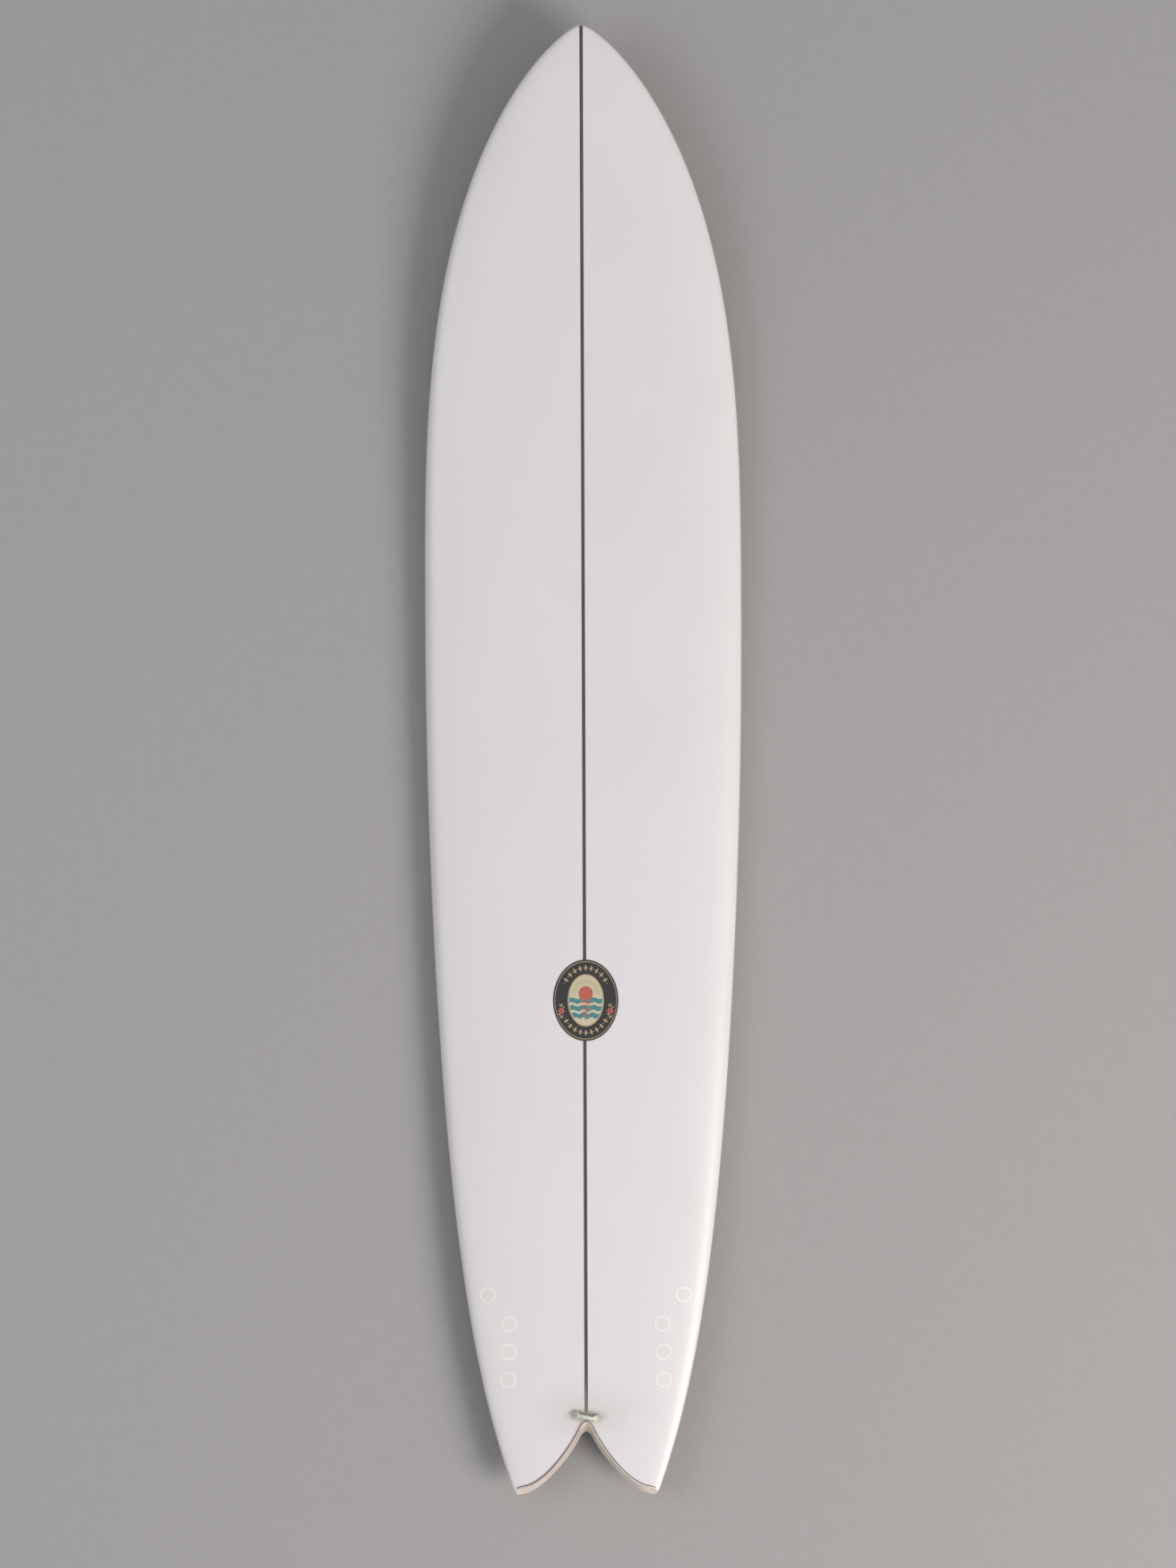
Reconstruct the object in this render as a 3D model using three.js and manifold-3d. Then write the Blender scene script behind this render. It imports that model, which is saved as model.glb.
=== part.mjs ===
// A nine-foot swallow-tail surfboard, lying on its bottom with its deck up.
//
// Frame: millimetres. +Y runs along the centreline to the nose, +X to the right rail seen from above,
// +Z up out of the deck. The origin is under the middle of the board, on the surface it lies on.
//
// Build: two foam halves glued to a wooden stringer, skinned with fibreglass on the deck, the bottom and
// the wall of the swallow cut. Eight fin plugs are potted into the bottom, each with a grub screw, and a
// fibreglass leash loop is bonded across the stringer just ahead of the swallow cut.

import * as THREE from 'three';
import { mergeVertices } from 'three/addons/utils/BufferGeometryUtils.js';
import Module from 'manifold-3d';

const wasm = await Module();
wasm.setup();

// ---------------------------------------------------------------- driving dimensions

// Outline, seen from above.
const LENGTH = 2743;
const WIDTH = 596;
const WIDE_POINT = 260; // ahead of the middle
const NOSE_FULLNESS = 3.17;
const NOSE_POINT = 1.345;
const TAIL_WIDTH = 268; // across the two tips
const TAIL_BELLY = 0.655; // share of the tail's taper that is a plain parabola
const TAIL_PULL = 7; // power of the rest, which is taken up near the tips
const TIP_RADIUS = 11;

// Thickness and rocker.
const THICKNESS = 76;
const THICK_POINT = 60;
const NOSE_THICKNESS = 14;
const TAIL_THICKNESS = 21;
const NOSE_RADIUS = 9; // rounding of the nose in side view
const NOSE_ROCKER = 120;
const TAIL_ROCKER = 58;
const ROCKER_LOW = -100; // station that touches the ground
const RAIL_LINE = 0.42; // height of the rail's widest line, as a share of the thickness
const DECK_ROUNDNESS = 3; // superellipse power of the deck's section
const BOTTOM_FLATNESS = 4.5; // and of the bottom's

// Layers.
const GAP = 0.3; // left between neighbours that touch
const DECK_GLASS = 1.2;
const BOTTOM_GLASS = 0.9;
const RAIL_GLASS = 1.2;
const WALL_GLASS = 1.2;
const STRINGER = 6.35;

// Swallow cut.
const SWALLOW_DEPTH = 115; // along the bottom
const SWALLOW_SPAN = 242; // between the points where the cut runs out of the tips
const CROTCH_RADIUS = 13;
const WALL_LEAN = 0.44; // how far the cut's wall leans forward, per millimetre up
const CROTCH_LEAN = 0.23; // what is added to that in the crotch
const TIP_LEAN = 0.4; // and at the tips
const PINLINE = { width: 1.8, depth: 0.5 };

// Decal under the deck glass.
const DECAL = { width: 122, length: 152, thickness: 0.4, cover: 0.45, x: 2, fromTail: 925 };

// Leash loop and the resin patch it stands on.
const LOOP = { fromTail: 148, span: 38, height: 15, rope: 6.5, footLength: 24, footWidth: 15, yaw: -0.2 };
const PATCH = { width: 92, length: 28, thickness: 0.8 };

// Fin plugs: a line of three on each side, and one by itself ahead of it and nearer the rail.
const PLUG_LINE = { fromTail: 265, fromRail: 60.5, spacing: 52 };
const OUTER_PLUG = { fromTail: 371, fromRail: 38 };
const TOE_IN = 0.024;
const PLUG = { radius: 12.3, undercut: 1.1, depth: 16, rim: 2.6 };
const SLOT = { width: 6.6, length: 16.4, depth: 13 };
const POTTING_WALL = 2.2; // resin round a plug
const SCREW = { radius: 2, length: 5, tilt: 0.56, recess: 1.5, socket: 2, socketDepth: 2.2 };

// Facets.
const STATIONS = 28;
const ARC = 12; // steps round half of a section
const ROUND = 20; // sides of a potting cylinder
const PLUG_SIDES = 16;
const SCREW_SIDES = 12;

// ---------------------------------------------------------------- shape of the finished board

const HALF_LENGTH = LENGTH / 2;
const POTTING_RADIUS = PLUG.radius + POTTING_WALL;
const SCREW_MOUTH = (SLOT.width / 2 + PLUG.radius) / 2; // midway between the slot and the rim

/** Depths of a surface below the finished board's skin; negative ones lie outside it. */
const inset = (deck, bottom = deck, side = deck) => ({ deck, bottom, side });
const FINISHED = inset(0);
const UNDER_GLASS = inset(DECK_GLASS, BOTTOM_GLASS, RAIL_GLASS);
const CORE = inset(DECK_GLASS + GAP, BOTTOM_GLASS + GAP, RAIL_GLASS + GAP);

const clamp = THREE.MathUtils.clamp;
const signedPower = (value, power) => Math.sign(value) * Math.abs(value) ** power;

/** How far a round of the given radius draws a corner in, at a distance from its end. */
function drawnIn(radius, distance) {
  const left = clamp(radius - distance, 0, radius);
  return radius - Math.sqrt(radius ** 2 - left ** 2);
}

/** Half of the board's width at a station, for a surface set in from the rail. */
function halfWidth(y, side) {
  const widest = WIDTH / 2 - side;
  const nose = HALF_LENGTH - side;
  if (y > WIDE_POINT) {
    const back = clamp((nose - y) / (nose - WIDE_POINT), 0, 1);
    return widest * (1 - (1 - back) ** NOSE_FULLNESS) ** (1 / NOSE_POINT);
  }
  const aft = Math.min((WIDE_POINT - y) / (WIDE_POINT + HALF_LENGTH), 1);
  const taper = TAIL_BELLY * aft ** 2 + (1 - TAIL_BELLY) * aft ** TAIL_PULL;
  const straight = widest - (WIDTH - TAIL_WIDTH) / 2 * taper;
  return straight - drawnIn(TIP_RADIUS - side, y + HALF_LENGTH - side);
}

/** Height of the bottom's centreline. */
function rocker(y) {
  const ahead = y > ROCKER_LOW;
  const reach = ahead ? HALF_LENGTH - ROCKER_LOW : HALF_LENGTH + ROCKER_LOW;
  const away = Math.abs(y - ROCKER_LOW) / reach;
  return ahead ? NOSE_ROCKER * away ** 2.4 : TAIL_ROCKER * away ** 2;
}

/** Thickness of the board on its centreline. */
function thickness(y) {
  const ahead = y > THICK_POINT;
  const reach = ahead ? HALF_LENGTH - THICK_POINT : HALF_LENGTH + THICK_POINT;
  const away = Math.min(Math.abs(y - THICK_POINT) / reach, 1);
  const end = ahead ? NOSE_THICKNESS : TAIL_THICKNESS;
  const share = ahead ? (1 - away ** 1.8) ** 0.7 : (1 - away ** 2) ** 0.8;
  return end + (THICKNESS - end) * share;
}

const railHeight = (y) => rocker(y) + RAIL_LINE * thickness(y);

/** Height of a surface above the rail line on the centreline, or below it for the bottom. */
function sectionDepth(y, layer, up) {
  const full = up ? (1 - RAIL_LINE) * thickness(y) - layer.deck : RAIL_LINE * thickness(y) - layer.bottom;
  const back = clamp((HALF_LENGTH - layer.side - y) / NOSE_RADIUS, 0, 1);
  return full * Math.sqrt(1 - (1 - back) ** 2);
}

/** Point on the section at a station; the angle starts at the right rail and turns over the deck. */
function sectionPoint(y, angle, layer) {
  const up = Math.sin(angle) > 0;
  const power = 2 / (up ? DECK_ROUNDNESS : BOTTOM_FLATNESS);
  const x = halfWidth(y, layer.side) * signedPower(Math.cos(angle), power);
  const z = railHeight(y) + sectionDepth(y, layer, up) * signedPower(Math.sin(angle), power);
  return new THREE.Vector3(x, y, z);
}

/** Height of the deck (or the bottom) of a layer over a point of the plan. */
function surfaceHeight(x, y, layer, up) {
  const power = up ? DECK_ROUNDNESS : BOTTOM_FLATNESS;
  const across = Math.min(Math.abs(x) / halfWidth(y, layer.side), 1);
  const share = (1 - across ** power) ** (1 / power);
  return railHeight(y) + (up ? 1 : -1) * sectionDepth(y, layer, up) * share;
}

// ---------------------------------------------------------------- solids

/** Closed solid from a geometry, with its shared vertices merged. */
function solid(geometry) {
  const bare = geometry.index ? geometry : mergeVertices(geometry);
  for (const name of ['normal', 'uv']) bare.deleteAttribute(name);
  const merged = mergeVertices(bare, 1e-4);
  return new wasm.Manifold(new wasm.Mesh({
    numProp: 3,
    vertProperties: new Float32Array(merged.getAttribute('position').array),
    triVerts: new Uint32Array(merged.index.array),
  }));
}

/** Geometry of a solid. */
function geometryOf(body) {
  const { vertProperties, triVerts } = body.getMesh();
  const geometry = new THREE.BufferGeometry();
  geometry.setAttribute('position', new THREE.BufferAttribute(new Float32Array(vertProperties), 3));
  geometry.setIndex(new THREE.BufferAttribute(new Uint32Array(triVerts), 1));
  geometry.computeVertexNormals();
  return geometry;
}

/** A sphere's net, remapped: rows run from the nose to the tail, columns go round each section. */
function loft(rows, columns, pointAt) {
  const geometry = new THREE.SphereGeometry(1, columns, rows);
  const position = geometry.getAttribute('position');
  for (let i = 0; i < position.count; i += 1) {
    const row = Math.floor(i / (columns + 1));
    const column = (i % (columns + 1)) % columns;
    position.setXYZ(i, ...pointAt(row, column).toArray());
  }
  return geometry;
}

/** Stations from the nose to just past the tail tips, close together where the outline turns. */
function stationList() {
  const run = LENGTH - TIP_RADIUS;
  const list = Array.from({ length: STATIONS + 1 }, (_, k) => HALF_LENGTH - run * (k / STATIONS) ** 1.8);
  const tips = [0.35, 0.1, 0, -0.5].map((share) => share * TIP_RADIUS - HALF_LENGTH);
  return [...list, ...tips];
}

const STATION_LIST = stationList();
const ROWS = STATION_LIST.length;

/** Station of a row for a surface that is also set in from the nose and the tips. */
const rowStation = (row, side) => STATION_LIST[Math.min(row, ROWS - 1)] * (1 - side / HALF_LENGTH);

/** The first and last rows of a loft are single points. */
const isPole = (row) => row === 0 || row === ROWS;

/** The whole board as one solid, out to the given layer. */
function boardBody(layer) {
  return solid(loft(ROWS, 2 * ARC, (row, column) => {
    const y = rowStation(row, layer.side);
    if (isPole(row)) return new THREE.Vector3(0, y, railHeight(y));
    return sectionPoint(y, -Math.PI * column / ARC, layer);
  }));
}

/** Everything over the rail line, or under it, short of the seam between the two glass skins. */
function besideSeam(up) {
  const side = up ? 1 : -1;
  const last = ROWS - 1;
  return solid(loft(last + 2, 4, (row, column) => {
    const station = STATION_LIST[clamp(row - 1, 0, last)];
    const y = row <= 1 ? HALF_LENGTH + THICKNESS : station;
    const seam = railHeight(Math.min(y, HALF_LENGTH)) + side * GAP / 2;
    const far = seam + side * 2 * THICKNESS;
    if (row === 0 || row === last + 2) return new THREE.Vector3(0, y, (seam + far) / 2);
    const x = column === 0 || column === 3 ? -WIDTH : WIDTH;
    const high = column < 2;
    return new THREE.Vector3(x, y, high === up ? far : seam);
  }));
}

/** Glass shell over the deck or under the bottom, from rail line to rail line. */
const skin = (up) => boardBody(FINISHED).subtract(boardBody(UNDER_GLASS)).intersect(besideSeam(up));

/** One foam half, from the stringer to the rail; side is 1 for the right and -1 for the left. */
function foamHalf(side) {
  const seam = STRINGER / 2 + GAP;
  return solid(loft(ROWS, ARC + 1, (row, column) => {
    const y = rowStation(row, CORE.side);
    if (row === 0) {
      const start = (y + rowStation(1, CORE.side)) / 2;
      return new THREE.Vector3(side * seam, start, railHeight(start));
    }
    if (row === ROWS) return new THREE.Vector3(side * seam, y, railHeight(y));
    const point = sectionPoint(y, side * Math.PI / 2 - Math.PI * column / ARC, CORE);
    point.x = side * Math.max(side * point.x, seam);
    return point;
  }));
}

/** The stringer blank, a board on edge that follows the deck and the bottom. */
function stringerBlank() {
  const last = ROWS - 2;
  return solid(loft(last + 1, 4, (row, column) => {
    const y = rowStation(clamp(row, 1, last), CORE.side);
    const up = column < 2;
    const middle = row === 0 || row === last + 1;
    const x = middle ? 0 : STRINGER / 2 * (column === 0 || column === 3 ? -1 : 1);
    return new THREE.Vector3(x, y, middle ? railHeight(y) : surfaceHeight(0, y, CORE, up));
  }));
}

// ---------------------------------------------------------------- swallow cut

/** Outline of the swallow cut along the bottom, seen from above, with its origin between the tail tips. */
function swallowShape() {
  const tip = { x: SWALLOW_SPAN / 2, y: -1.5 };
  const fall = 0.2; // slope of the outline where it runs out of the tips
  const reach = { x: tip.x + THICKNESS, y: tip.y - fall * THICKNESS };
  const crotch = { x: CROTCH_RADIUS, y: SWALLOW_DEPTH - CROTCH_RADIUS };
  const near = { x: 0.21 * tip.x, y: 0.67 * SWALLOW_DEPTH };
  const far = { x: 0.64 * tip.x, y: tip.y + fall * 0.36 * tip.x };
  const shape = new THREE.Shape();
  shape.moveTo(-reach.x, reach.y - THICKNESS);
  shape.lineTo(reach.x, reach.y - THICKNESS);
  shape.lineTo(reach.x, reach.y);
  shape.lineTo(tip.x, tip.y);
  shape.bezierCurveTo(far.x, far.y, near.x, near.y, crotch.x, crotch.y);
  shape.quadraticCurveTo(crotch.x / 2, SWALLOW_DEPTH, 0, SWALLOW_DEPTH);
  shape.quadraticCurveTo(-crotch.x / 2, SWALLOW_DEPTH, -crotch.x, crotch.y);
  shape.bezierCurveTo(-near.x, near.y, -far.x, far.y, -tip.x, tip.y);
  shape.lineTo(-reach.x, reach.y);
  return shape;
}

/** How far the cut's wall leans forward at a distance from the centreline, per millimetre up. */
function wallLean(x) {
  const out = Math.min(Math.abs(x) / (SWALLOW_SPAN / 2), 1);
  return WALL_LEAN + CROTCH_LEAN * (1 - out) ** 2 + TIP_LEAN * out ** 4;
}

/** Everything aft of the swallow's leaning wall, or of a surface a little ahead of it. */
function tailCut(ahead) {
  const crotch = SWALLOW_DEPTH - HALF_LENGTH;
  const margin = 4;
  const low = rocker(crotch) - margin;
  const geometry = new THREE.ExtrudeGeometry(swallowShape(), {
    depth: rocker(-HALF_LENGTH) + thickness(crotch) + margin - low,
    steps: 3,
    curveSegments: 9,
    bevelEnabled: true,
    bevelSegments: 1,
    bevelThickness: 1,
    bevelSize: 0,
    bevelOffset: ahead,
  });
  geometry.translate(0, 0, low);
  const position = geometry.getAttribute('position');
  for (let i = 0; i < position.count; i += 1) {
    const station = position.getY(i) - HALF_LENGTH;
    const rise = position.getZ(i) - rocker(station);
    position.setY(i, station + wallLean(position.getX(i)) * rise);
  }
  return solid(geometry);
}

/** Upright prism with an oval plan, for trimming a layer to a patch. */
function ovalPrism(width, length, x, y) {
  const geometry = new THREE.CylinderGeometry(1, 1, 4 * THICKNESS, 40);
  geometry.rotateX(Math.PI / 2);
  geometry.scale(width / 2, length / 2, 1);
  geometry.translate(x, y, rocker(y) + THICKNESS);
  return solid(geometry);
}

/** The band of deck between two depths below the finished surface. */
function deckBand(shallow, deep) {
  const upper = boardBody(inset(shallow, -THICKNESS, -GAP));
  return upper.subtract(boardBody(inset(deep, -2 * THICKNESS, -2 * GAP)));
}

// ---------------------------------------------------------------- fin plugs

/** Places of one side's plugs, as distances from the centreline and along the board. */
function plugPlaces() {
  const railAt = (fromTail) => halfWidth(fromTail - HALF_LENGTH, 0);
  const middle = railAt(PLUG_LINE.fromTail) - PLUG_LINE.fromRail;
  const line = ['rear', 'middle', 'front'].map((name, index) => {
    const along = (index - 1) * PLUG_LINE.spacing;
    return { name, x: middle - along * Math.sin(TOE_IN), y: PLUG_LINE.fromTail + along - HALF_LENGTH };
  });
  const outer = railAt(OUTER_PLUG.fromTail) - OUTER_PLUG.fromRail;
  return [{ name: 'outer', x: outer, y: OUTER_PLUG.fromTail - HALF_LENGTH }, ...line.reverse()];
}

/** Frame of a plug: origin at its mouth, +Z into the board, +Y along the fin slot. */
function plugFrame(place, side) {
  const x = side * place.x;
  const { y } = place;
  const height = (dx, dy) => surfaceHeight(x + dx, y + dy, FINISHED, false);
  const step = PLUG.radius;
  const slopeX = (height(step, 0) - height(-step, 0)) / (2 * step);
  const slopeY = (height(0, step) - height(0, -step)) / (2 * step);
  const zAxis = new THREE.Vector3(-slopeX, -slopeY, 1).normalize();
  const forward = new THREE.Vector3(-side * Math.sin(TOE_IN), Math.cos(TOE_IN), 0);
  const xAxis = forward.clone().cross(zAxis).normalize();
  const yAxis = zAxis.clone().cross(xAxis);
  const frame = new THREE.Matrix4().makeBasis(xAxis, yAxis, zAxis);
  return frame.setPosition(x, y, height(0, 0));
}

/** Upright round bar standing on z = 0 of its frame. */
function bar(radius, low, high, sides) {
  const geometry = new THREE.CylinderGeometry(radius, radius, high - low, sides);
  geometry.rotateX(Math.PI / 2);
  geometry.translate(0, 0, (low + high) / 2);
  return geometry;
}

/** A plug's outside, flanged at both ends, grown by a clearance. */
function plugProfile(grow) {
  const rim = PLUG.radius + grow;
  const waist = PLUG.radius - PLUG.undercut + grow;
  const top = PLUG.depth + grow;
  const base = PLUG.depth - PLUG.rim - grow;
  const points = [[0, 0], [rim, 0], [rim, PLUG.rim + grow], [waist, PLUG.depth / 2], [rim, base], [rim, top],
    [0, top]];
  const geometry = new THREE.LatheGeometry(points.map(([r, z]) => new THREE.Vector2(r, z)), PLUG_SIDES);
  geometry.rotateX(Math.PI / 2);
  return geometry;
}

/** Places something modelled along +Z from the mouth into a grub screw's tilted bore. */
function alongBore(geometry, side) {
  geometry.rotateY(-side * SCREW.tilt);
  geometry.translate(side * SCREW_MOUTH, 0, 0);
  return geometry;
}

function plugBody(side) {
  const slot = new THREE.BoxGeometry(SLOT.width, SLOT.length, 2 * SLOT.depth);
  const bore = alongBore(bar(SCREW.radius + GAP, -SCREW.length, boreLength(), SCREW_SIDES), side);
  return solid(plugProfile(0)).subtract(solid(slot)).subtract(solid(bore));
}

/** The bore runs until its axis meets the slot's middle. */
const boreLength = () => SCREW_MOUTH / Math.sin(SCREW.tilt) - 2 * SCREW.radius - GAP;

function grubScrew(side) {
  const end = SCREW.recess + SCREW.length;
  const socketRadius = SCREW.socket / Math.sqrt(3);
  const blank = solid(bar(SCREW.radius, SCREW.recess, end, SCREW_SIDES));
  const socket = solid(bar(socketRadius, 0, SCREW.recess + SCREW.socketDepth, 6));
  return solid(alongBore(geometryOf(blank.subtract(socket)), side));
}

/** Round hole through the board round a plug, or the resin that fills it. */
const plugHole = (frame, grow) => solid(bar(POTTING_RADIUS + grow, -THICKNESS, 2 * THICKNESS, ROUND)
  .applyMatrix4(frame));

// ---------------------------------------------------------------- scene

const material = (color, roughness, metalness = 0) =>
  new THREE.MeshStandardMaterial({ color, roughness, metalness });
const MATERIALS = {
  foam: material(0xf1efe9, 0.9),
  wood: material(0x4f4147, 0.6),
  glass: material(0xe4dfe0, 0.25),
  wall: material(0xc3b5a8, 0.35),
  pinline: material(0x5a4a50, 0.3),
  decal: material(0x2b2423, 0.5),
  loop: material(0xc9cbb6, 0.3),
  patch: material(0xb9b5a2, 0.3),
  plug: material(0xdcdad6, 0.4),
  potting: material(0xe9e7de, 0.3),
  screw: material(0x8b8d90, 0.35, 1),
};

const board = new THREE.Group();

/** Adds one named mesh to a group. */
function addPart(name, body, finish, parent = board) {
  const mesh = new THREE.Mesh(geometryOf(body), finish);
  mesh.name = name;
  parent.add(mesh);
  return mesh;
}

const SIDES = [{ name: 'left', side: -1 }, { name: 'right', side: 1 }];
const plugs = SIDES.flatMap(({ name, side }) => plugPlaces().map((place) => (
  { name: `${name}_${place.name}`, side, frame: plugFrame(place, side) })));

/** A body with the plug holes cut through it, on both sides or on one. */
function withPlugHoles(body, side = 0) {
  const near = plugs.filter((plug) => side === 0 || plug.side === side);
  return near.reduce((left, plug) => left.subtract(plugHole(plug.frame, GAP)), body);
}

const cutFinished = tailCut(0);
const cutCore = tailCut(WALL_GLASS + GAP);

for (const { name, side } of SIDES) {
  const core = withPlugHoles(foamHalf(side), side).subtract(cutCore);
  addPart(`foam_core_${name}`, core, MATERIALS.foam);
}
addPart('stringer', stringerBlank().subtract(cutCore), MATERIALS.wood);

const decalY = DECAL.fromTail - HALF_LENGTH;
const decalTop = DECAL.cover + GAP;
const decalBand = deckBand(decalTop, decalTop + DECAL.thickness);
const decal = ovalPrism(DECAL.width, DECAL.length, DECAL.x, decalY).intersect(decalBand);
const decalPocket = ovalPrism(DECAL.width + 2 * GAP, DECAL.length + 2 * GAP, DECAL.x, decalY)
  .intersect(deckBand(DECAL.cover, DECK_GLASS + GAP));

const pinlineStrip = tailCut(PINLINE.width).subtract(cutFinished);
const pinline = pinlineStrip.intersect(boardBody(FINISHED)).intersect(deckBand(0, PINLINE.depth));
const pinlineSeat = tailCut(PINLINE.width + GAP).intersect(deckBand(-THICKNESS, PINLINE.depth + GAP));

const deckSkin = skin(true).subtract(cutFinished).subtract(decalPocket).subtract(pinlineSeat);
addPart('deck_laminate', deckSkin, MATERIALS.glass);
addPart('bottom_laminate', withPlugHoles(skin(false)).subtract(cutFinished), MATERIALS.glass);
addPart('deck_decal', decal, MATERIALS.decal);
addPart('tail_pinline', pinline, MATERIALS.pinline);

const wall = boardBody(CORE).intersect(tailCut(WALL_GLASS)).subtract(cutFinished);
addPart('tail_wall_laminate', wall, MATERIALS.wall);

const loopY = LOOP.fromTail - HALF_LENGTH;
const patchBand = deckBand(-GAP - PATCH.thickness, -GAP);
const patchCut = tailCut(PINLINE.width + 2 * GAP);
const patch = ovalPrism(PATCH.width, PATCH.length, 0, loopY).intersect(patchBand).subtract(patchCut);
addPart('leash_loop_patch', patch, MATERIALS.patch);

/** Rope of glass roving in an arch, with a splayed foot at each end. */
function leashLoop() {
  const half = LOOP.span / 2;
  const crown = LOOP.height - LOOP.rope / 2;
  const knots = [[-1, 0], [-0.72, 0.5], [-0.35, 0.9], [0, 1], [0.35, 0.9], [0.72, 0.5], [1, 0]];
  const route = new THREE.CatmullRomCurve3(knots.map(([x, z]) => new THREE.Vector3(x * half, 0, z * crown)));
  const section = new THREE.Shape().absarc(0, 0, LOOP.rope / 2, 0, 2 * Math.PI);
  const rope = new THREE.ExtrudeGeometry(section, { steps: 16, curveSegments: 4, extrudePath: route });
  const feet = [-1, 1].map((side) => {
    const foot = new THREE.SphereGeometry(1, 14, 8);
    foot.scale(LOOP.footLength / 2, LOOP.footWidth / 2, LOOP.rope / 2);
    foot.translate(side * half, 0, 0);
    return solid(foot);
  });
  const whole = geometryOf(solid(rope).add(feet[0]).add(feet[1]));
  whole.rotateZ(LOOP.yaw);
  whole.translate(0, loopY, surfaceHeight(0, loopY, FINISHED, true) + PATCH.thickness + GAP);
  return solid(whole);
}

const underLoop = boardBody(inset(-2 * GAP - PATCH.thickness));
addPart('leash_loop', leashLoop().subtract(underLoop), MATERIALS.loop);

const resinEnvelope = boardBody(inset(CORE.deck, 0));
for (const { name, side, frame } of plugs) {
  const recess = solid(plugProfile(GAP).applyMatrix4(frame));
  const mouth = solid(bar(PLUG.radius + GAP, -PLUG.depth, 1, PLUG_SIDES).applyMatrix4(frame));
  const potting = plugHole(frame, 0).intersect(resinEnvelope).subtract(recess).subtract(mouth);
  addPart(`plug_potting_${name}`, potting, MATERIALS.potting);

  const seat = new THREE.Group();
  seat.applyMatrix4(frame);
  board.add(seat);
  addPart(`fin_plug_${name}`, plugBody(side), MATERIALS.plug, seat);
  addPart(`grub_screw_${name}`, grubScrew(side), MATERIALS.screw, seat);
}

export default board;
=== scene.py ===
"""Looks of a nine-foot swallow-tail surfboard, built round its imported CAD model.

Everything is in metres in the board's own frame: +Y to the nose, +X to the right rail, +Z out of the deck.
The board lies on its bottom, and the origin is on the surface under its middle.
"""

import logging
import math
from dataclasses import dataclass, field
from enum import Enum
from functools import lru_cache
from typing import Callable, Dict, Iterable, List, Optional, Sequence, Tuple

import bmesh
import bpy
import numpy as np
from mathutils import Matrix, Vector

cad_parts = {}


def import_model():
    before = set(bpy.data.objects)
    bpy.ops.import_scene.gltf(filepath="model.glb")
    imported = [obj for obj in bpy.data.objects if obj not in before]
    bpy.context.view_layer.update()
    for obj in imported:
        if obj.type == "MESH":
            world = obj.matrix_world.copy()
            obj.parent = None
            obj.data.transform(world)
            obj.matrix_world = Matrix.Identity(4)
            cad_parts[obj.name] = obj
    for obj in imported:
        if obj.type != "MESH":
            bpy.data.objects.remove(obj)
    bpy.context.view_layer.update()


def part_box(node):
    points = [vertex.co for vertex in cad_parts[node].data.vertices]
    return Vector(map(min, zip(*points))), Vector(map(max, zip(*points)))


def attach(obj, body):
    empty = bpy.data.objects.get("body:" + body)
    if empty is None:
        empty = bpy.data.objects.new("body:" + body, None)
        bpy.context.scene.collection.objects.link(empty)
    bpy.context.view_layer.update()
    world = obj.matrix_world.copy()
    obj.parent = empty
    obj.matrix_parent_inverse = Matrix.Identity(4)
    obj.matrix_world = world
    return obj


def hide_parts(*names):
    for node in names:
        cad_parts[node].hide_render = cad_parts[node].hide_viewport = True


LOG = logging.getLogger("surfboard")
MM = 0.001
ROOT_BODY = "board"
Place = Callable[[float, float], Vector]
Colour = Tuple[float, float, float]


# --------------------------------------------------------------------------- shape of the board


@dataclass(frozen=True)
class Layer:
    """Depths of a surface below the finished skin, in metres; negative ones lie outside it."""

    deck: float
    bottom: float
    side: float


class Face(Enum):
    """Which side of the rail line a surface lies on."""

    DECK = 1
    BOTTOM = -1


@dataclass(frozen=True)
class Glassing:
    """Thicknesses of the fibreglass and of the gap that the CAD pieces keep between them."""

    deck: float = 1.2 * MM
    bottom: float = 0.9 * MM
    rail: float = 1.2 * MM
    wall: float = 1.2 * MM
    gap: float = 0.3 * MM

    @property
    def core(self) -> Layer:
        """The foam's own surface."""
        return Layer(self.deck + self.gap, self.bottom + self.gap, self.rail + self.gap)


FINISHED = Layer(0.0, 0.0, 0.0)


def signed_power(value: float, power: float) -> float:
    """A power that keeps the sign of its base."""
    return math.copysign(abs(value) ** power, value)


def clamp(value: float, low: float, high: float) -> float:
    """The value, held between two limits."""
    return max(low, min(high, value))


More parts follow.
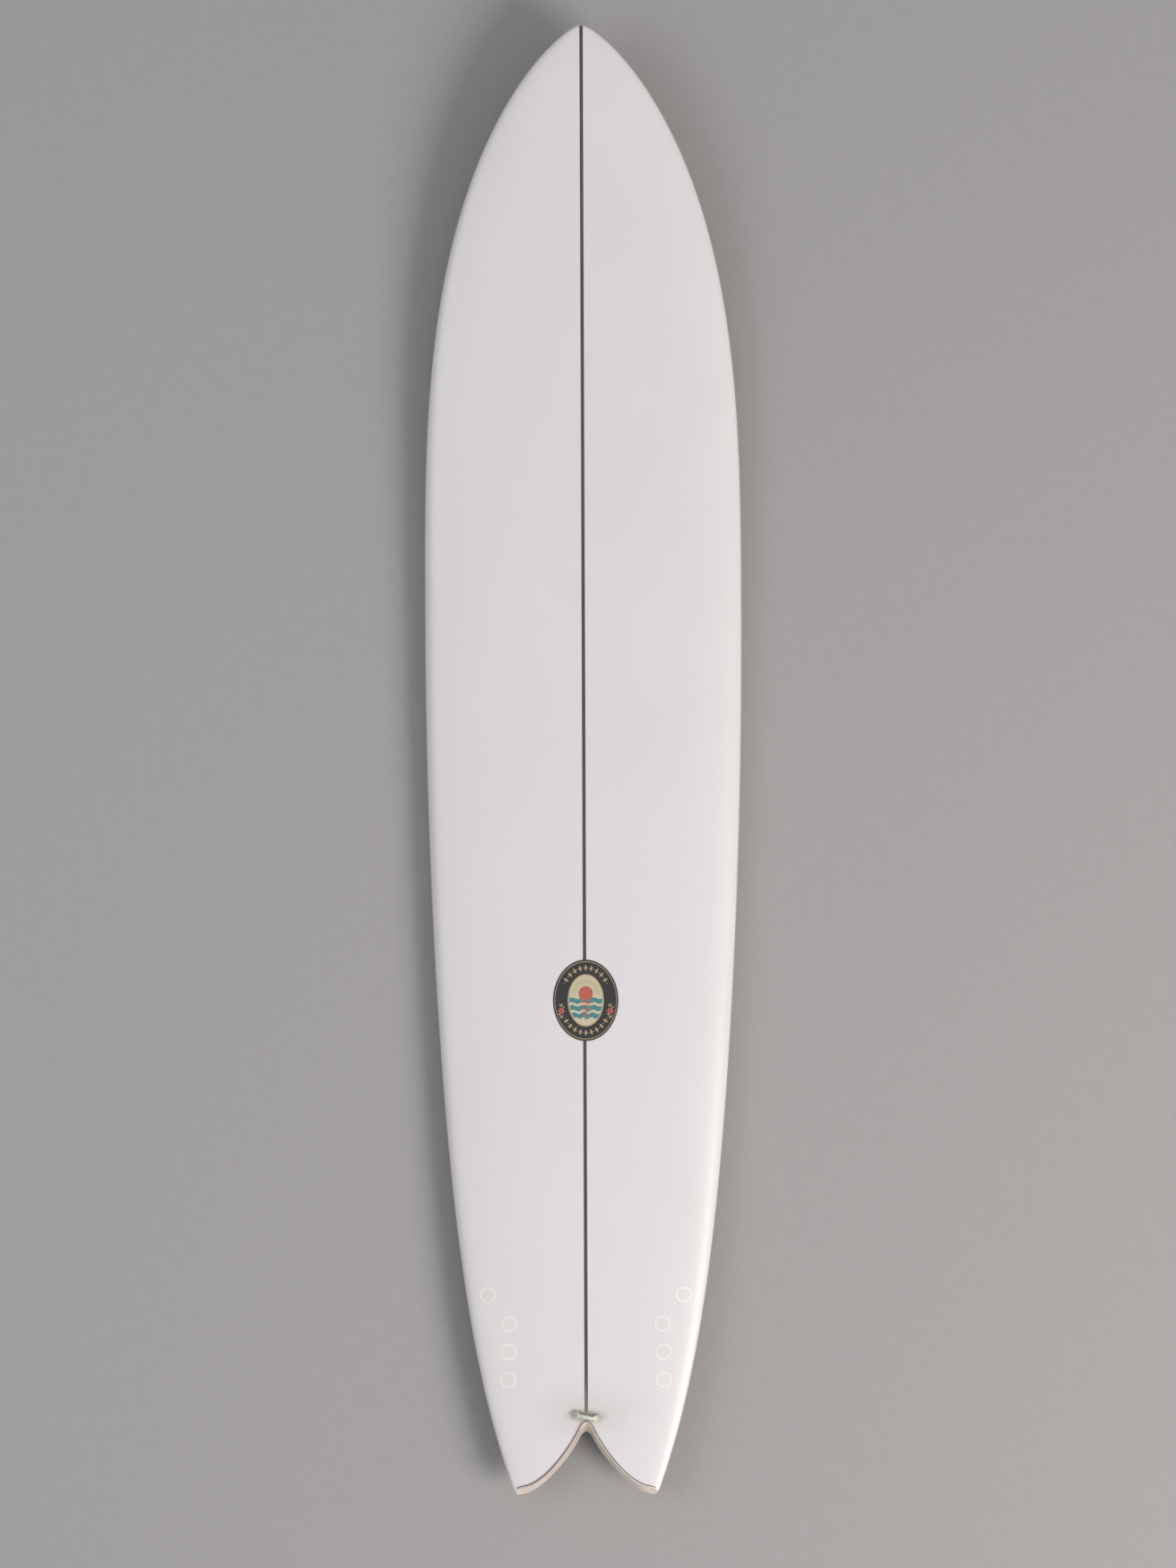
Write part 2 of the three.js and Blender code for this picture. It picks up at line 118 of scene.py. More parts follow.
@dataclass(frozen=True)
class BoardForm:
    """Outline, rocker, thickness and sections of the finished board."""

    half_length: float
    width: float
    wide_point: float = 260 * MM
    nose_fullness: float = 3.17
    nose_point: float = 1.345
    tail_width: float = 268 * MM
    tail_belly: float = 0.655
    tail_pull: float = 7.0
    tip_radius: float = 11 * MM
    thick: float = 76 * MM
    thick_point: float = 60 * MM
    nose_thickness: float = 14 * MM
    tail_thickness: float = 21 * MM
    nose_radius: float = 9 * MM
    nose_rocker: float = 120 * MM
    tail_rocker: float = 58 * MM
    rocker_low: float = -100 * MM
    rail_line: float = 0.42
    deck_roundness: float = 3.0
    bottom_flatness: float = 4.5

    @classmethod
    def from_frame(cls) -> "BoardForm":
        """Takes the length and width from the CAD skin.

        Returns:
            The board's form at the frame's size.
        """
        low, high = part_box("deck_laminate")
        return cls(half_length=high[1], width=high[0] - low[0])

    def half_width(self, y: float, side: float = 0.0) -> float:
        """Half of the width at a station.

        Args:
            y: Station along the board.
            side: How far the surface is set in from the rail.

        Returns:
            The distance from the centreline to the rail.
        """
        widest = self.width / 2 - side
        nose = self.half_length - side
        if y > self.wide_point:
            back = clamp((nose - y) / (nose - self.wide_point), 0.0, 1.0)
            return widest * (1 - (1 - back) ** self.nose_fullness) ** (1 / self.nose_point)
        aft = min((self.wide_point - y) / (self.wide_point + self.half_length), 1.0)
        taper = self.tail_belly * aft**2 + (1 - self.tail_belly) * aft**self.tail_pull
        straight = widest - (self.width - self.tail_width) / 2 * taper
        radius = self.tip_radius - side
        left = clamp(radius - (y + self.half_length - side), 0.0, radius)
        return straight - (radius - math.sqrt(radius**2 - left**2))

    def rocker(self, y: float) -> float:
        """Height of the bottom's centreline."""
        ahead = y > self.rocker_low
        reach = self.half_length + (-self.rocker_low if ahead else self.rocker_low)
        away = abs(y - self.rocker_low) / reach
        return self.nose_rocker * away**2.4 if ahead else self.tail_rocker * away**2

    def thickness(self, y: float) -> float:
        """Thickness on the centreline."""
        ahead = y > self.thick_point
        reach = self.half_length + (-self.thick_point if ahead else self.thick_point)
        away = min(abs(y - self.thick_point) / reach, 1.0)
        end = self.nose_thickness if ahead else self.tail_thickness
        share = (1 - away**1.8) ** 0.7 if ahead else (1 - away**2) ** 0.8
        return end + (self.thick - end) * share

    def rail_height(self, y: float) -> float:
        """Height of the rail's widest line."""
        return self.rocker(y) + self.rail_line * self.thickness(y)

    def depth(self, y: float, layer: Layer, face: Face) -> float:
        """Distance from the rail line to the surface, on the centreline."""
        if face is Face.DECK:
            full = (1 - self.rail_line) * self.thickness(y) - layer.deck
        else:
            full = self.rail_line * self.thickness(y) - layer.bottom
        back = clamp((self.half_length - layer.side - y) / self.nose_radius, 0.0, 1.0)
        return full * math.sqrt(1 - (1 - back) ** 2)

    def section_angle(self, share: float, face: Face) -> float:
        """Section angle for an even share of the way from the right rail to the left one.

        Args:
            share: 0 at the right rail, 0.5 on the centreline and 1 at the left rail.
            face: Whether the way goes over the deck or under the bottom.

        Returns:
            The angle, which is negative under the bottom.
        """
        power = self.deck_roundness if face is Face.DECK else self.bottom_flatness
        climb = min(2 * min(share, 1 - share), 1 - 1e-9)
        turn = math.atan((climb / (1 - climb)) ** (power / 2))
        return face.value * (turn if share <= 0.5 else math.pi - turn)

    def section_point(self, y: float, angle: float, layer: Layer) -> Vector:
        """Point of a section; the angle starts at the right rail and turns over the deck."""
        face = Face.DECK if math.sin(angle) > 0 else Face.BOTTOM
        power = 2 / (self.deck_roundness if face is Face.DECK else self.bottom_flatness)
        x = self.half_width(y, layer.side) * signed_power(math.cos(angle), power)
        rise = self.depth(y, layer, face) * signed_power(math.sin(angle), power)
        return Vector((x, y, self.rail_height(y) + rise))

    def height(self, x: float, y: float, layer: Layer, face: Face) -> float:
        """Height of a layer's deck or bottom over a point of the plan."""
        power = self.deck_roundness if face is Face.DECK else self.bottom_flatness
        across = min(abs(x) / self.half_width(y, layer.side), 1.0)
        share = (1 - across**power) ** (1 / power)
        return self.rail_height(y) + face.value * self.depth(y, layer, face) * share


@dataclass
class Outline:
    """The swallow's outline along the bottom, set ahead by some distance, with its lean and its base."""

    x: np.ndarray
    y: np.ndarray
    lean: np.ndarray
    base: np.ndarray


@dataclass
class SwallowCut:
    """The notch between the two tail tips, with its forward-leaning wall."""

    form: BoardForm
    depth: float = 115 * MM
    span: float = 242 * MM
    crotch_radius: float = 13 * MM
    wall_lean: float = 0.44
    crotch_lean: float = 0.23
    tip_lean: float = 0.4
    fall: float = 0.2
    run_out: float = 76 * MM
    outlines: Dict[float, Outline] = field(default_factory=dict)

    def half_outline(self) -> np.ndarray:
        """Points of one half of the outline, from the crotch to past the tip.

        Returns:
            Rows of x and of the distance ahead of the tail tips.
        """
        tip = np.array((self.span / 2, -1.5 * MM))
        crotch = np.array((self.crotch_radius, self.depth - self.crotch_radius))
        near = np.array((0.21 * tip[0], 0.67 * self.depth))
        far = np.array((0.64 * tip[0], tip[1] + self.fall * 0.36 * tip[0]))
        start = np.array((0.0, self.depth))
        bend = np.array((crotch[0] / 2, self.depth))
        t = np.linspace(0.0, 1.0, 30, endpoint=False)[:, None]
        top = start * (1 - t) ** 2 + bend * 2 * t * (1 - t) + crotch * t * t
        t = np.linspace(0.0, 1.0, 170)[:, None]
        wing = crotch * (1 - t) ** 3 + near * 3 * t * (1 - t) ** 2 + far * 3 * t * t * (1 - t) + tip * t**3
        t = np.linspace(0.0, 1.0, 31)[1:, None]
        beyond = tip + t * np.array((self.run_out, -self.fall * self.run_out))
        return np.vstack((top, wing, beyond))

    def outline(self, ahead: float) -> Outline:
        """The outline, set ahead by a distance.

        Args:
            ahead: Distance into the board.

        Returns:
            The outline's arrays, which are kept for the next call.
        """
        if ahead not in self.outlines:
            line = self.half_outline()
            slope = np.gradient(line, axis=0)
            slope /= np.linalg.norm(slope, axis=1)[:, None]
            slope[0] = (1.0, 0.0)
            moved = line + ahead * np.stack((-slope[:, 1], slope[:, 0]), axis=1)
            x, y = moved[:, 0], moved[:, 1] - self.form.half_length
            out = np.minimum(np.abs(x) / (self.span / 2), 1.0)
            lean = self.wall_lean + self.crotch_lean * (1 - out) ** 2 + self.tip_lean * out**4
            base = np.array([self.form.rocker(value) for value in y])
            self.outlines[ahead] = Outline(x, y, lean, base)
        return self.outlines[ahead]

    def station(self, x: float, z: float, ahead: float) -> float:
        """Station of the wall, or of a surface ahead of it, at a distance from the centreline."""
        line = self.outline(ahead)
        return float(np.interp(abs(x), line.x, line.y + line.lean * (z - line.base)))

    def column_end(self, angle: float, layer: Layer, ahead: float) -> float:
        """Station where a line of constant section angle runs into the wall.

        Args:
            angle: Section angle of the line.
            layer: Surface that the line lies on.
            ahead: Distance of the cut ahead of the finished wall.

        Returns:
            The station of the crossing.
        """
        low, high = -self.form.half_length + layer.side, -self.form.half_length + 2 * self.depth
        for _ in range(30):
            middle = (low + high) / 2
            point = self.form.section_point(middle, angle, layer)
            if middle > self.station(point.x, point.z, ahead):
                high = middle
            else:
                low = middle
        return high

    def edge_point(self, share: float, layer: Layer, face: Face, ahead: float = 0.0) -> Vector:
        """Where the wall meets a layer of the deck or of the bottom.

        Args:
            share: Share of the outline, from -1 on the left to 1 on the right.
            layer: Layer that the wall runs into.
            face: Deck or bottom.
            ahead: Distance ahead of the finished wall.

        Returns:
            The meeting point.
        """
        line = self.outline(ahead)
        place = abs(share) * (len(line.x) - 1)
        index = np.arange(len(line.x))
        parts = (line.x, line.y, line.lean, line.base)
        x, y, lean, base = (float(np.interp(place, index, part)) for part in parts)
        height = base
        station = y
        for _ in range(12):
            across = min(x, self.form.half_width(station, layer.side))
            height = self.form.height(across, station, layer, face)
            station = y + lean * (height - base)
        return Vector((math.copysign(x, share), station, height))

    def limit(self, layer: Layer) -> float:
        """Share of the outline at which the wall runs out through the rail."""
        low, high = 0.5, 1.0
        for _ in range(30):
            middle = (low + high) / 2
            point = self.edge_point(middle, layer, Face.DECK)
            if point.x < self.form.half_width(point.y, layer.side):
                low = middle
            else:
                high = middle
        return low


# --------------------------------------------------------------------------- mesh helpers


def grid_sheet(columns: int, rows: int, place: Place) -> bmesh.types.BMesh:
    """A grid whose points are placed by a rule.

    Args:
        columns: Faces across.
        rows: Faces along.
        place: Rule from the shares across and along, each 0 to 1, to a point.

    Returns:
        The bmesh, with its coincident points merged.
    """
    mesh = bmesh.new()
    bmesh.ops.create_grid(mesh, x_segments=columns, y_segments=rows, size=1.0)
    for vert in mesh.verts:
        vert.co = place((vert.co.x + 1) / 2, (vert.co.y + 1) / 2)
    bmesh.ops.remove_doubles(mesh, verts=mesh.verts, dist=0.002 * MM)
    return mesh


def face_up(mesh: bmesh.types.BMesh, toward: Vector) -> None:
    """Turns an open sheet so that most of its faces look one way."""
    mesh.normal_update()
    total = sum((face.normal * face.calc_area() for face in mesh.faces), Vector())
    if total.dot(toward) < 0:
        bmesh.ops.reverse_faces(mesh, faces=mesh.faces)


def thicken(mesh: bmesh.types.BMesh, amount: float) -> None:
    """Gives an open sheet a thickness behind its faces, with a closed rim."""
    mesh.normal_update()
    bmesh.ops.solidify(mesh, geom=list(mesh.faces), thickness=amount)


def to_object(name: str, mesh: bmesh.types.BMesh, sharp: float = 35.0) -> bpy.types.Object:
    """Stores a bmesh as a smooth-shaded object.

    Args:
        name: Name of the piece.
        mesh: The finished bmesh, which is freed.
        sharp: Angle in degrees over which an edge stays sharp.

    Returns:
        The new object, linked to the scene.
    """
    data = bpy.data.meshes.new(name)
    mesh.to_mesh(data)
    mesh.free()
    data.polygons.foreach_set("use_smooth", [True] * len(data.polygons))
    data.set_sharp_from_angle(angle=math.radians(sharp))
    piece = bpy.data.objects.new(name, data)
    bpy.context.scene.collection.objects.link(piece)
    return piece


def carve(piece: bpy.types.Object, cutter: bpy.types.Object, sharp: float = 35.0) -> None:
    """Cuts another object out of a piece and removes it.

    Args:
        piece: The object that is cut.
        cutter: Closed object to cut with.
        sharp: Angle in degrees over which an edge stays sharp.
    """
    cut = piece.modifiers.new("cut", "BOOLEAN")
    cut.operation = "DIFFERENCE"
    cut.solver = "EXACT"
    cut.object = cutter
    graph = bpy.context.evaluated_depsgraph_get()
    result = bpy.data.meshes.new_from_object(piece.evaluated_get(graph))
    piece.modifiers.clear()
    old = piece.data
    piece.data = result
    bpy.data.meshes.remove(old)
    result.set_sharp_from_angle(angle=math.radians(sharp))
    bpy.data.objects.remove(cutter)


def turned(profile: Iterable[Tuple[float, float]], sides: int) -> bmesh.types.BMesh:
    """A closed turned solid about Z from (radius, height) points that start and end on the axis."""
    mesh = bmesh.new()
    verts = [mesh.verts.new((radius, 0.0, height)) for radius, height in profile]
    edges = [mesh.edges.new(pair) for pair in zip(verts, verts[1:])]
    bmesh.ops.spin(
        mesh,
        geom=verts + edges,
        cent=(0.0, 0.0, 0.0),
        axis=(0.0, 0.0, 1.0),
        angle=2 * math.pi,
        steps=sides,
        use_merge=True,
    )
    bmesh.ops.remove_doubles(mesh, verts=mesh.verts, dist=0.002 * MM)
    bmesh.ops.recalc_face_normals(mesh, faces=mesh.faces)
    return mesh


def add_bar(
    mesh: bmesh.types.BMesh, radius: float, low: float, high: float, sides: int, frame: Matrix
) -> None:
    """Adds a plain bar between two heights of a frame.

    Args:
        mesh: The bmesh that it is added to.
        radius: Radius of the bar, to its corners.
        low: Height of its near end in the frame.
        high: Height of its far end in the frame.
        sides: Number of sides; many sides make it round.
        frame: Frame whose Z axis the bar lies on.
    """
    lift = frame @ Matrix.Translation((0.0, 0.0, (low + high) / 2))
    bmesh.ops.create_cone(
        mesh, cap_ends=True, segments=sides, radius1=radius, radius2=radius, depth=high - low, matrix=lift
    )


def merge_into(mesh: bmesh.types.BMesh, part: bmesh.types.BMesh) -> None:
    """Adds one bmesh to another and frees it."""
    data = bpy.data.meshes.new("part")
    part.to_mesh(data)
    part.free()
    mesh.from_mesh(data)
    bpy.data.meshes.remove(data)


# --------------------------------------------------------------------------- shader helpers


class ShaderTree:
    """Short forms for the nodes of one material or group."""

    def __init__(self, tree: bpy.types.NodeTree) -> None:
        """Keeps the tree and empties it."""
        self.tree = tree
        tree.nodes.clear()

    def add(self, kind: str, **settings: object) -> bpy.types.Node:
        """A new node with some of its settings."""
        node = self.tree.nodes.new(kind)
        for key, value in settings.items():
            setattr(node, key, value)
        return node

    def put(self, value: object, socket: bpy.types.NodeSocket) -> None:
        """Links a socket, or sets a plain value."""
        if isinstance(value, bpy.types.NodeSocket):
            self.tree.links.new(value, socket)
        else:
            socket.default_value = value

    def math(self, operation: str, *values: object, limit: bool = False) -> bpy.types.NodeSocket:
        """A maths node on one to three values."""
        node = self.add("ShaderNodeMath", operation=operation, use_clamp=limit)
        for value, socket in zip(values, node.inputs):
            self.put(value, socket)
        return node.outputs[0]

    def ramp(
        self, value: object, low: float, high: float, to_low: float = 0.0, to_high: float = 1.0
    ) -> bpy.types.NodeSocket:
        """A smooth step of a value between two limits."""
        node = self.add("ShaderNodeMapRange", interpolation_type="SMOOTHSTEP")
        keys = ("Value", "From Min", "From Max", "To Min", "To Max")
        for key, item in zip(keys, (value, low, high, to_low, to_high)):
            self.put(item, node.inputs[key])
        return node.outputs[0]

    def mix(self, share: object, first: object, second: object) -> bpy.types.NodeSocket:
        """A blend of two colours."""
        node = self.add("ShaderNodeMix", data_type="RGBA")
        self.put(share, node.inputs[0])
        for value, socket in ((first, node.inputs[6]), (second, node.inputs[7])):
            self.put((*value, 1.0) if isinstance(value, tuple) else value, socket)
        return node.outputs[2]

    def noise(
        self, vector: object, scale: float, detail: float = 2.0, rough: float = 0.5
    ) -> bpy.types.NodeSocket:
        """A soft noise field."""
        node = self.add("ShaderNodeTexNoise")
        self.put(vector, node.inputs["Vector"])
        node.inputs["Scale"].default_value = scale
        node.inputs["Detail"].default_value = detail
        node.inputs["Roughness"].default_value = rough
        return node.outputs[0]

    def mapped(
        self, vector: object, place: Colour = (0, 0, 0), turn: Colour = (0, 0, 0), scale: Colour = (1, 1, 1)
    ) -> bpy.types.NodeSocket:
        """A vector moved, turned and scaled as a texture."""
        node = self.add("ShaderNodeMapping")
        self.put(vector, node.inputs["Vector"])
        node.inputs["Location"].default_value = place
        node.inputs["Rotation"].default_value = turn
        node.inputs["Scale"].default_value = scale
        return node.outputs[0]

    def split(self, vector: object, axis: int) -> bpy.types.NodeSocket:
        """One component of a vector: 0 for X, 1 for Y and 2 for Z."""
        node = self.add("ShaderNodeSeparateXYZ")
        self.put(vector, node.inputs[0])
        return node.outputs[axis]

    def bump(self, height: object, distance: float, strength: float = 1.0) -> bpy.types.NodeSocket:
        """A normal from a height field."""
        node = self.add("ShaderNodeBump")
        node.inputs["Distance"].default_value = distance
        node.inputs["Strength"].default_value = strength
        self.put(height, node.inputs["Height"])
        return node.outputs[0]

    def attribute(self, name: str) -> bpy.types.Node:
        """An attribute of the mesh."""
        return self.add("ShaderNodeAttribute", attribute_name=name)

    def group(self, tree: bpy.types.NodeTree, **values: object) -> bpy.types.Node:
        """One of the shared groups, with its inputs by name; underscores stand for spaces."""
        node = self.add("ShaderNodeGroup", node_tree=tree)
        for key, value in values.items():
            self.put(value, node.inputs[key.replace("_", " ")])
        return node

    def object_place(self) -> bpy.types.NodeSocket:
        """Object coordinates."""
        return self.add("ShaderNodeTexCoord").outputs["Object"]


def new_group(
    name: str, inputs: Dict[str, object], outputs: Sequence[str]
) -> Tuple[ShaderTree, bpy.types.Node, bpy.types.Node]:
    """Starts a shader node group.

    Args:
        name: Name of the group.
        inputs: Input names with a default number, or "vector" for a vector input.
        outputs: Names of the float outputs.

    Returns:
        The tree, its input node and its output node.
    """
    tree = bpy.data.node_groups.new(name, "ShaderNodeTree")
    for key, default in inputs.items():
        kind = "NodeSocketVector" if default == "vector" else "NodeSocketFloat"
        socket = tree.interface.new_socket(name=key, in_out="INPUT", socket_type=kind)
        if default != "vector":
            socket.default_value = default
    for key in outputs:
        tree.interface.new_socket(name=key, in_out="OUTPUT", socket_type="NodeSocketFloat")
    shader = ShaderTree(tree)
    return shader, shader.add("NodeGroupInput"), shader.add("NodeGroupOutput")


@lru_cache(maxsize=None)
def cloth_weave() -> bpy.types.NodeTree:
    """Plain-woven glass cloth: the height of its threads and a mask of where they cross."""
    inputs = {"Vector": "vector", "Pitch": 1.4 * MM}
    shader, given, result = new_group("cloth_weave", inputs, ("Threads", "Crossings"))
    split = shader.add("ShaderNodeSeparateXYZ")
    wander = shader.noise(given.outputs["Vector"], 60.0, 1.0)
    drift = shader.math("MULTIPLY", shader.math("SUBTRACT", wander, 0.5), 1.2 * MM)
    shader.put(given.outputs["Vector"], split.inputs[0])
    waves = []
    for axis in (0, 1):
        moved = shader.math("ADD", split.outputs[axis], drift)
        turns = shader.math("DIVIDE", moved, given.outputs["Pitch"])
        waves.append(shader.math("SINE", shader.math("MULTIPLY", turns, math.pi)))
    crossing = shader.math("MULTIPLY", *waves)
    shader.put(shader.math("MULTIPLY_ADD", crossing, 0.5, 0.5), result.inputs["Crossings"])
    ridge = shader.math("MAXIMUM", shader.math("ABSOLUTE", waves[0]), shader.math("ABSOLUTE", waves[1]))
    shader.put(ridge, result.inputs["Threads"])
    return shader.tree


@lru_cache(maxsize=None)
def cloudiness() -> bpy.types.NodeTree:
    """Slow patches and fine grain, as in hand-mixed resin and sanded surfaces."""
    shader, given, result = new_group("cloudiness", {"Vector": "vector", "Size": 0.2}, ("Patches", "Grain"))
    scaled = shader.add("ShaderNodeVectorMath", operation="DIVIDE")
    shader.put(given.outputs["Vector"], scaled.inputs[0])
    shader.put(given.outputs["Size"], scaled.inputs[1])
    shader.put(shader.noise(scaled.outputs[0], 1.0, 3.0, 0.55), result.inputs["Patches"])
    shader.put(shader.noise(scaled.outputs[0], 45.0, 4.0, 0.65), result.inputs["Grain"])
    return shader.tree


def new_material(name: str) -> Tuple[bpy.types.Material, ShaderTree, bpy.types.Node]:
    """A material with an empty tree and its output.

    Args:
        name: Name of the material.

    Returns:
        The material, its tree and its output node.
    """
    material = bpy.data.materials.new(name)
    material.use_nodes = True
    shader = ShaderTree(material.node_tree)
    return material, shader, shader.add("ShaderNodeOutputMaterial")


def principled(shader: ShaderTree, **values: object) -> bpy.types.Node:
    """A Principled shader with its inputs by name; underscores stand for spaces."""
    node = shader.add("ShaderNodeBsdfPrincipled")
    for key, value in values.items():
        shader.put(value, node.inputs[key.replace("_", " ")])
    return node


# --------------------------------------------------------------------------- finishes


@dataclass(frozen=True)
class ClearGlassFinish:
    """Sanded clear resin over woven glass cloth: the foam shows through it."""

    name: str = "clear_glass"
    tint: Colour = (0.99, 0.99, 0.985)
    lap_tint: Colour = (0.994, 0.992, 0.982)
    haze: float = 0.006
    lap_haze: float = 0.018
    tail_patch: bool = True
    tint_from_tail: float = 0.150
    tint_reach: Tuple[float, float] = (0.125, 0.075)

    def make(self, form: BoardForm) -> bpy.types.Material:
        """Builds the material.

        Args:
            form: The board's form, which places the patch at the tail.

        Returns:
            The material.
        """
        material, shader, output = new_material(self.name)
        place = shader.object_place()
        weave = shader.group(cloth_weave(), Vector=place)
        clouds = shader.group(cloudiness(), Vector=place, Size=0.35)
        inboard = shader.attribute("lap").outputs["Fac"]
        frayed = shader.math("MULTIPLY_ADD", shader.noise(place, 90.0, 2.0), 0.05, inboard)
        lap = shader.ramp(frayed, 0.86, 1.14, 1.0, 0.0)
        cover = shader.math("MULTIPLY", lap, self.lap_haze - self.haze)
        threads = shader.math("MULTIPLY", weave.outputs["Crossings"], 0.008)
        veil = shader.math("ADD", shader.math("ADD", cover, threads), self.haze)
        body_colour: object = (0.80, 0.79, 0.78, 1.0)
        if self.tail_patch:
            centred = shader.add("ShaderNodeVectorMath", operation="SUBTRACT")
            shader.put(place, centred.inputs[0])
            centred.inputs[1].default_value = (0.0, self.tint_from_tail - form.half_length, 0.0)
            scaled = shader.add("ShaderNodeVectorMath", operation="DIVIDE")
            shader.put(centred.outputs[0], scaled.inputs[0])
            scaled.inputs[1].default_value = (*self.tint_reach, 100.0)
            length = shader.add("ShaderNodeVectorMath", operation="LENGTH")
            shader.put(scaled.outputs[0], length.inputs[0])
            uneven = shader.math("MULTIPLY_ADD", shader.noise(place, 22.0, 3.0), 0.5, length.outputs["Value"])
            patch = shader.ramp(uneven, 0.35, 1.45, 1.0, 0.0)
            veil = shader.math("ADD", veil, shader.math("MULTIPLY", patch, 0.17))
            body_colour = shader.mix(patch, (0.80, 0.79, 0.78), (0.72, 0.69, 0.56))
        cloth = shader.math("MULTIPLY", weave.outputs["Threads"], 0.25)
        height = shader.math("ADD", cloth, clouds.outputs["Grain"])
        normal = shader.bump(height, 0.05 * MM, 0.35)
        gloss = shader.math("MULTIPLY_ADD", clouds.outputs["Grain"], 0.16, 0.24)
        body = principled(shader, Base_Color=body_colour, Roughness=0.6, Normal=normal)
        body.inputs["Specular IOR Level"].default_value = 0.0
        white = (1.0, 1.0, 1.0, 1.0)
        mirror = principled(shader, Base_Color=white, Metallic=1.0, Roughness=gloss, Normal=normal)
        through = shader.add("ShaderNodeBsdfTransparent")
        shader.put(shader.mix(lap, self.tint, self.lap_tint), through.inputs["Color"])
        fresnel = shader.add("ShaderNodeFresnel")
        fresnel.inputs["IOR"].default_value = 1.5
        shader.put(normal, fresnel.inputs["Normal"])
        front = shader.math("SUBTRACT", 1.0, shader.add("ShaderNodeNewGeometry").outputs["Backfacing"])
        clear = shader.add("ShaderNodeMixShader")
        shader.put(shader.math("MULTIPLY", veil, front), clear.inputs[0])
        shader.put(through.outputs[0], clear.inputs[1])
        shader.put(body.outputs[0], clear.inputs[2])
        coated = shader.add("ShaderNodeMixShader")
        shader.put(shader.math("MULTIPLY", fresnel.outputs[0], front), coated.inputs[0])
        shader.put(clear.outputs[0], coated.inputs[1])
        shader.put(mirror.outputs[0], coated.inputs[2])
        shader.put(coated.outputs[0], output.inputs["Surface"])
        return material


@dataclass(frozen=True)
class FoamFinish:
    """White shaped foam: closed cells and faint planer marks across the board."""

    name: str = "shaped_foam"
    colour: Colour = (0.84, 0.81, 0.83)
    shade: Colour = (0.815, 0.78, 0.805)

    def make(self) -> bpy.types.Material:
        """Builds the material.

        Returns:
            The material.
        """
        material, shader, output = new_material(self.name)
        place = shader.object_place()
        clouds = shader.group(cloudiness(), Vector=place, Size=0.25)
        cells = shader.add("ShaderNodeTexVoronoi")
        shader.put(place, cells.inputs["Vector"])
        cells.inputs["Scale"].default_value = 1 / (1.1 * MM)
        patches = shader.math("MULTIPLY", clouds.outputs["Patches"], 0.5)
        tone = shader.math("MULTIPLY_ADD", clouds.outputs["Grain"], 0.5, patches)
        colour = shader.mix(shader.ramp(tone, 0.35, 0.65), self.shade, self.colour)
        normal = shader.bump(cells.outputs["Distance"], 0.08 * MM, 0.5)
        surface = principled(shader, Base_Color=colour, Roughness=0.85, Normal=normal)
        shader.put(surface.outputs[0], output.inputs["Surface"])
        return material


@dataclass(frozen=True)
class WoodFinish:
    """Dark stringer timber, with its grain along the board."""

    name: str = "stringer_wood"
    dark: Colour = (0.035, 0.022, 0.028)
    light: Colour = (0.105, 0.065, 0.072)

    def make(self) -> bpy.types.Material:
        """Builds the material.

        Returns:
            The material.
        """
        material, shader, output = new_material(self.name)
        place = shader.object_place()
        fibres = shader.mapped(place, scale=(900.0, 14.0, 260.0))
        rings = shader.mapped(place, scale=(160.0, 1.6, 40.0))
        fine = shader.noise(fibres, 1.0, 4.0, 0.6)
        slow = shader.noise(rings, 1.0, 2.0, 0.5)
        tone = shader.math("ADD", shader.math("MULTIPLY", fine, 0.6), shader.math("MULTIPLY", slow, 0.4))
        colour = shader.mix(shader.ramp(tone, 0.32, 0.68), self.dark, self.light)
        rough = shader.math("MULTIPLY_ADD", fine, 0.25, 0.45)
        normal = shader.bump(fine, 0.1 * MM, 0.4)
        surface = principled(shader, Base_Color=colour, Roughness=rough, Normal=normal)
        shader.put(surface.outputs[0], output.inputs["Surface"])
        return material


@dataclass(frozen=True)
class ResinFinish:
    """Cast or laid-up resin with a given colour, cloudy inside and glossy outside; for the pinline that
    colour also carries painted shade.
    """

    name: str
    colour: Colour
    deep: Colour
    roughness: float = 0.28
    coat: float = 0.4
    cloud_size: float = 0.03
    grain: float = 0.04 * MM

    def make(self) -> bpy.types.Material:
        """Builds the material.

        Returns:
            The material.
        """
        material, shader, output = new_material(self.name)
        place = shader.object_place()
        clouds = shader.group(cloudiness(), Vector=place, Size=self.cloud_size)
        colour = shader.mix(shader.ramp(clouds.outputs["Patches"], 0.3, 0.7), self.deep, self.colour)
        rough = shader.math("MULTIPLY_ADD", clouds.outputs["Grain"], 0.2, self.roughness - 0.1)
        normal = shader.bump(clouds.outputs["Grain"], self.grain, 0.6)
        surface = principled(shader, Base_Color=colour, Roughness=rough, Normal=normal)
        surface.inputs["Coat Weight"].default_value = self.coat
        surface.inputs["Coat Roughness"].default_value = 0.15
        shader.put(surface.outputs[0], output.inputs["Surface"])
        return material


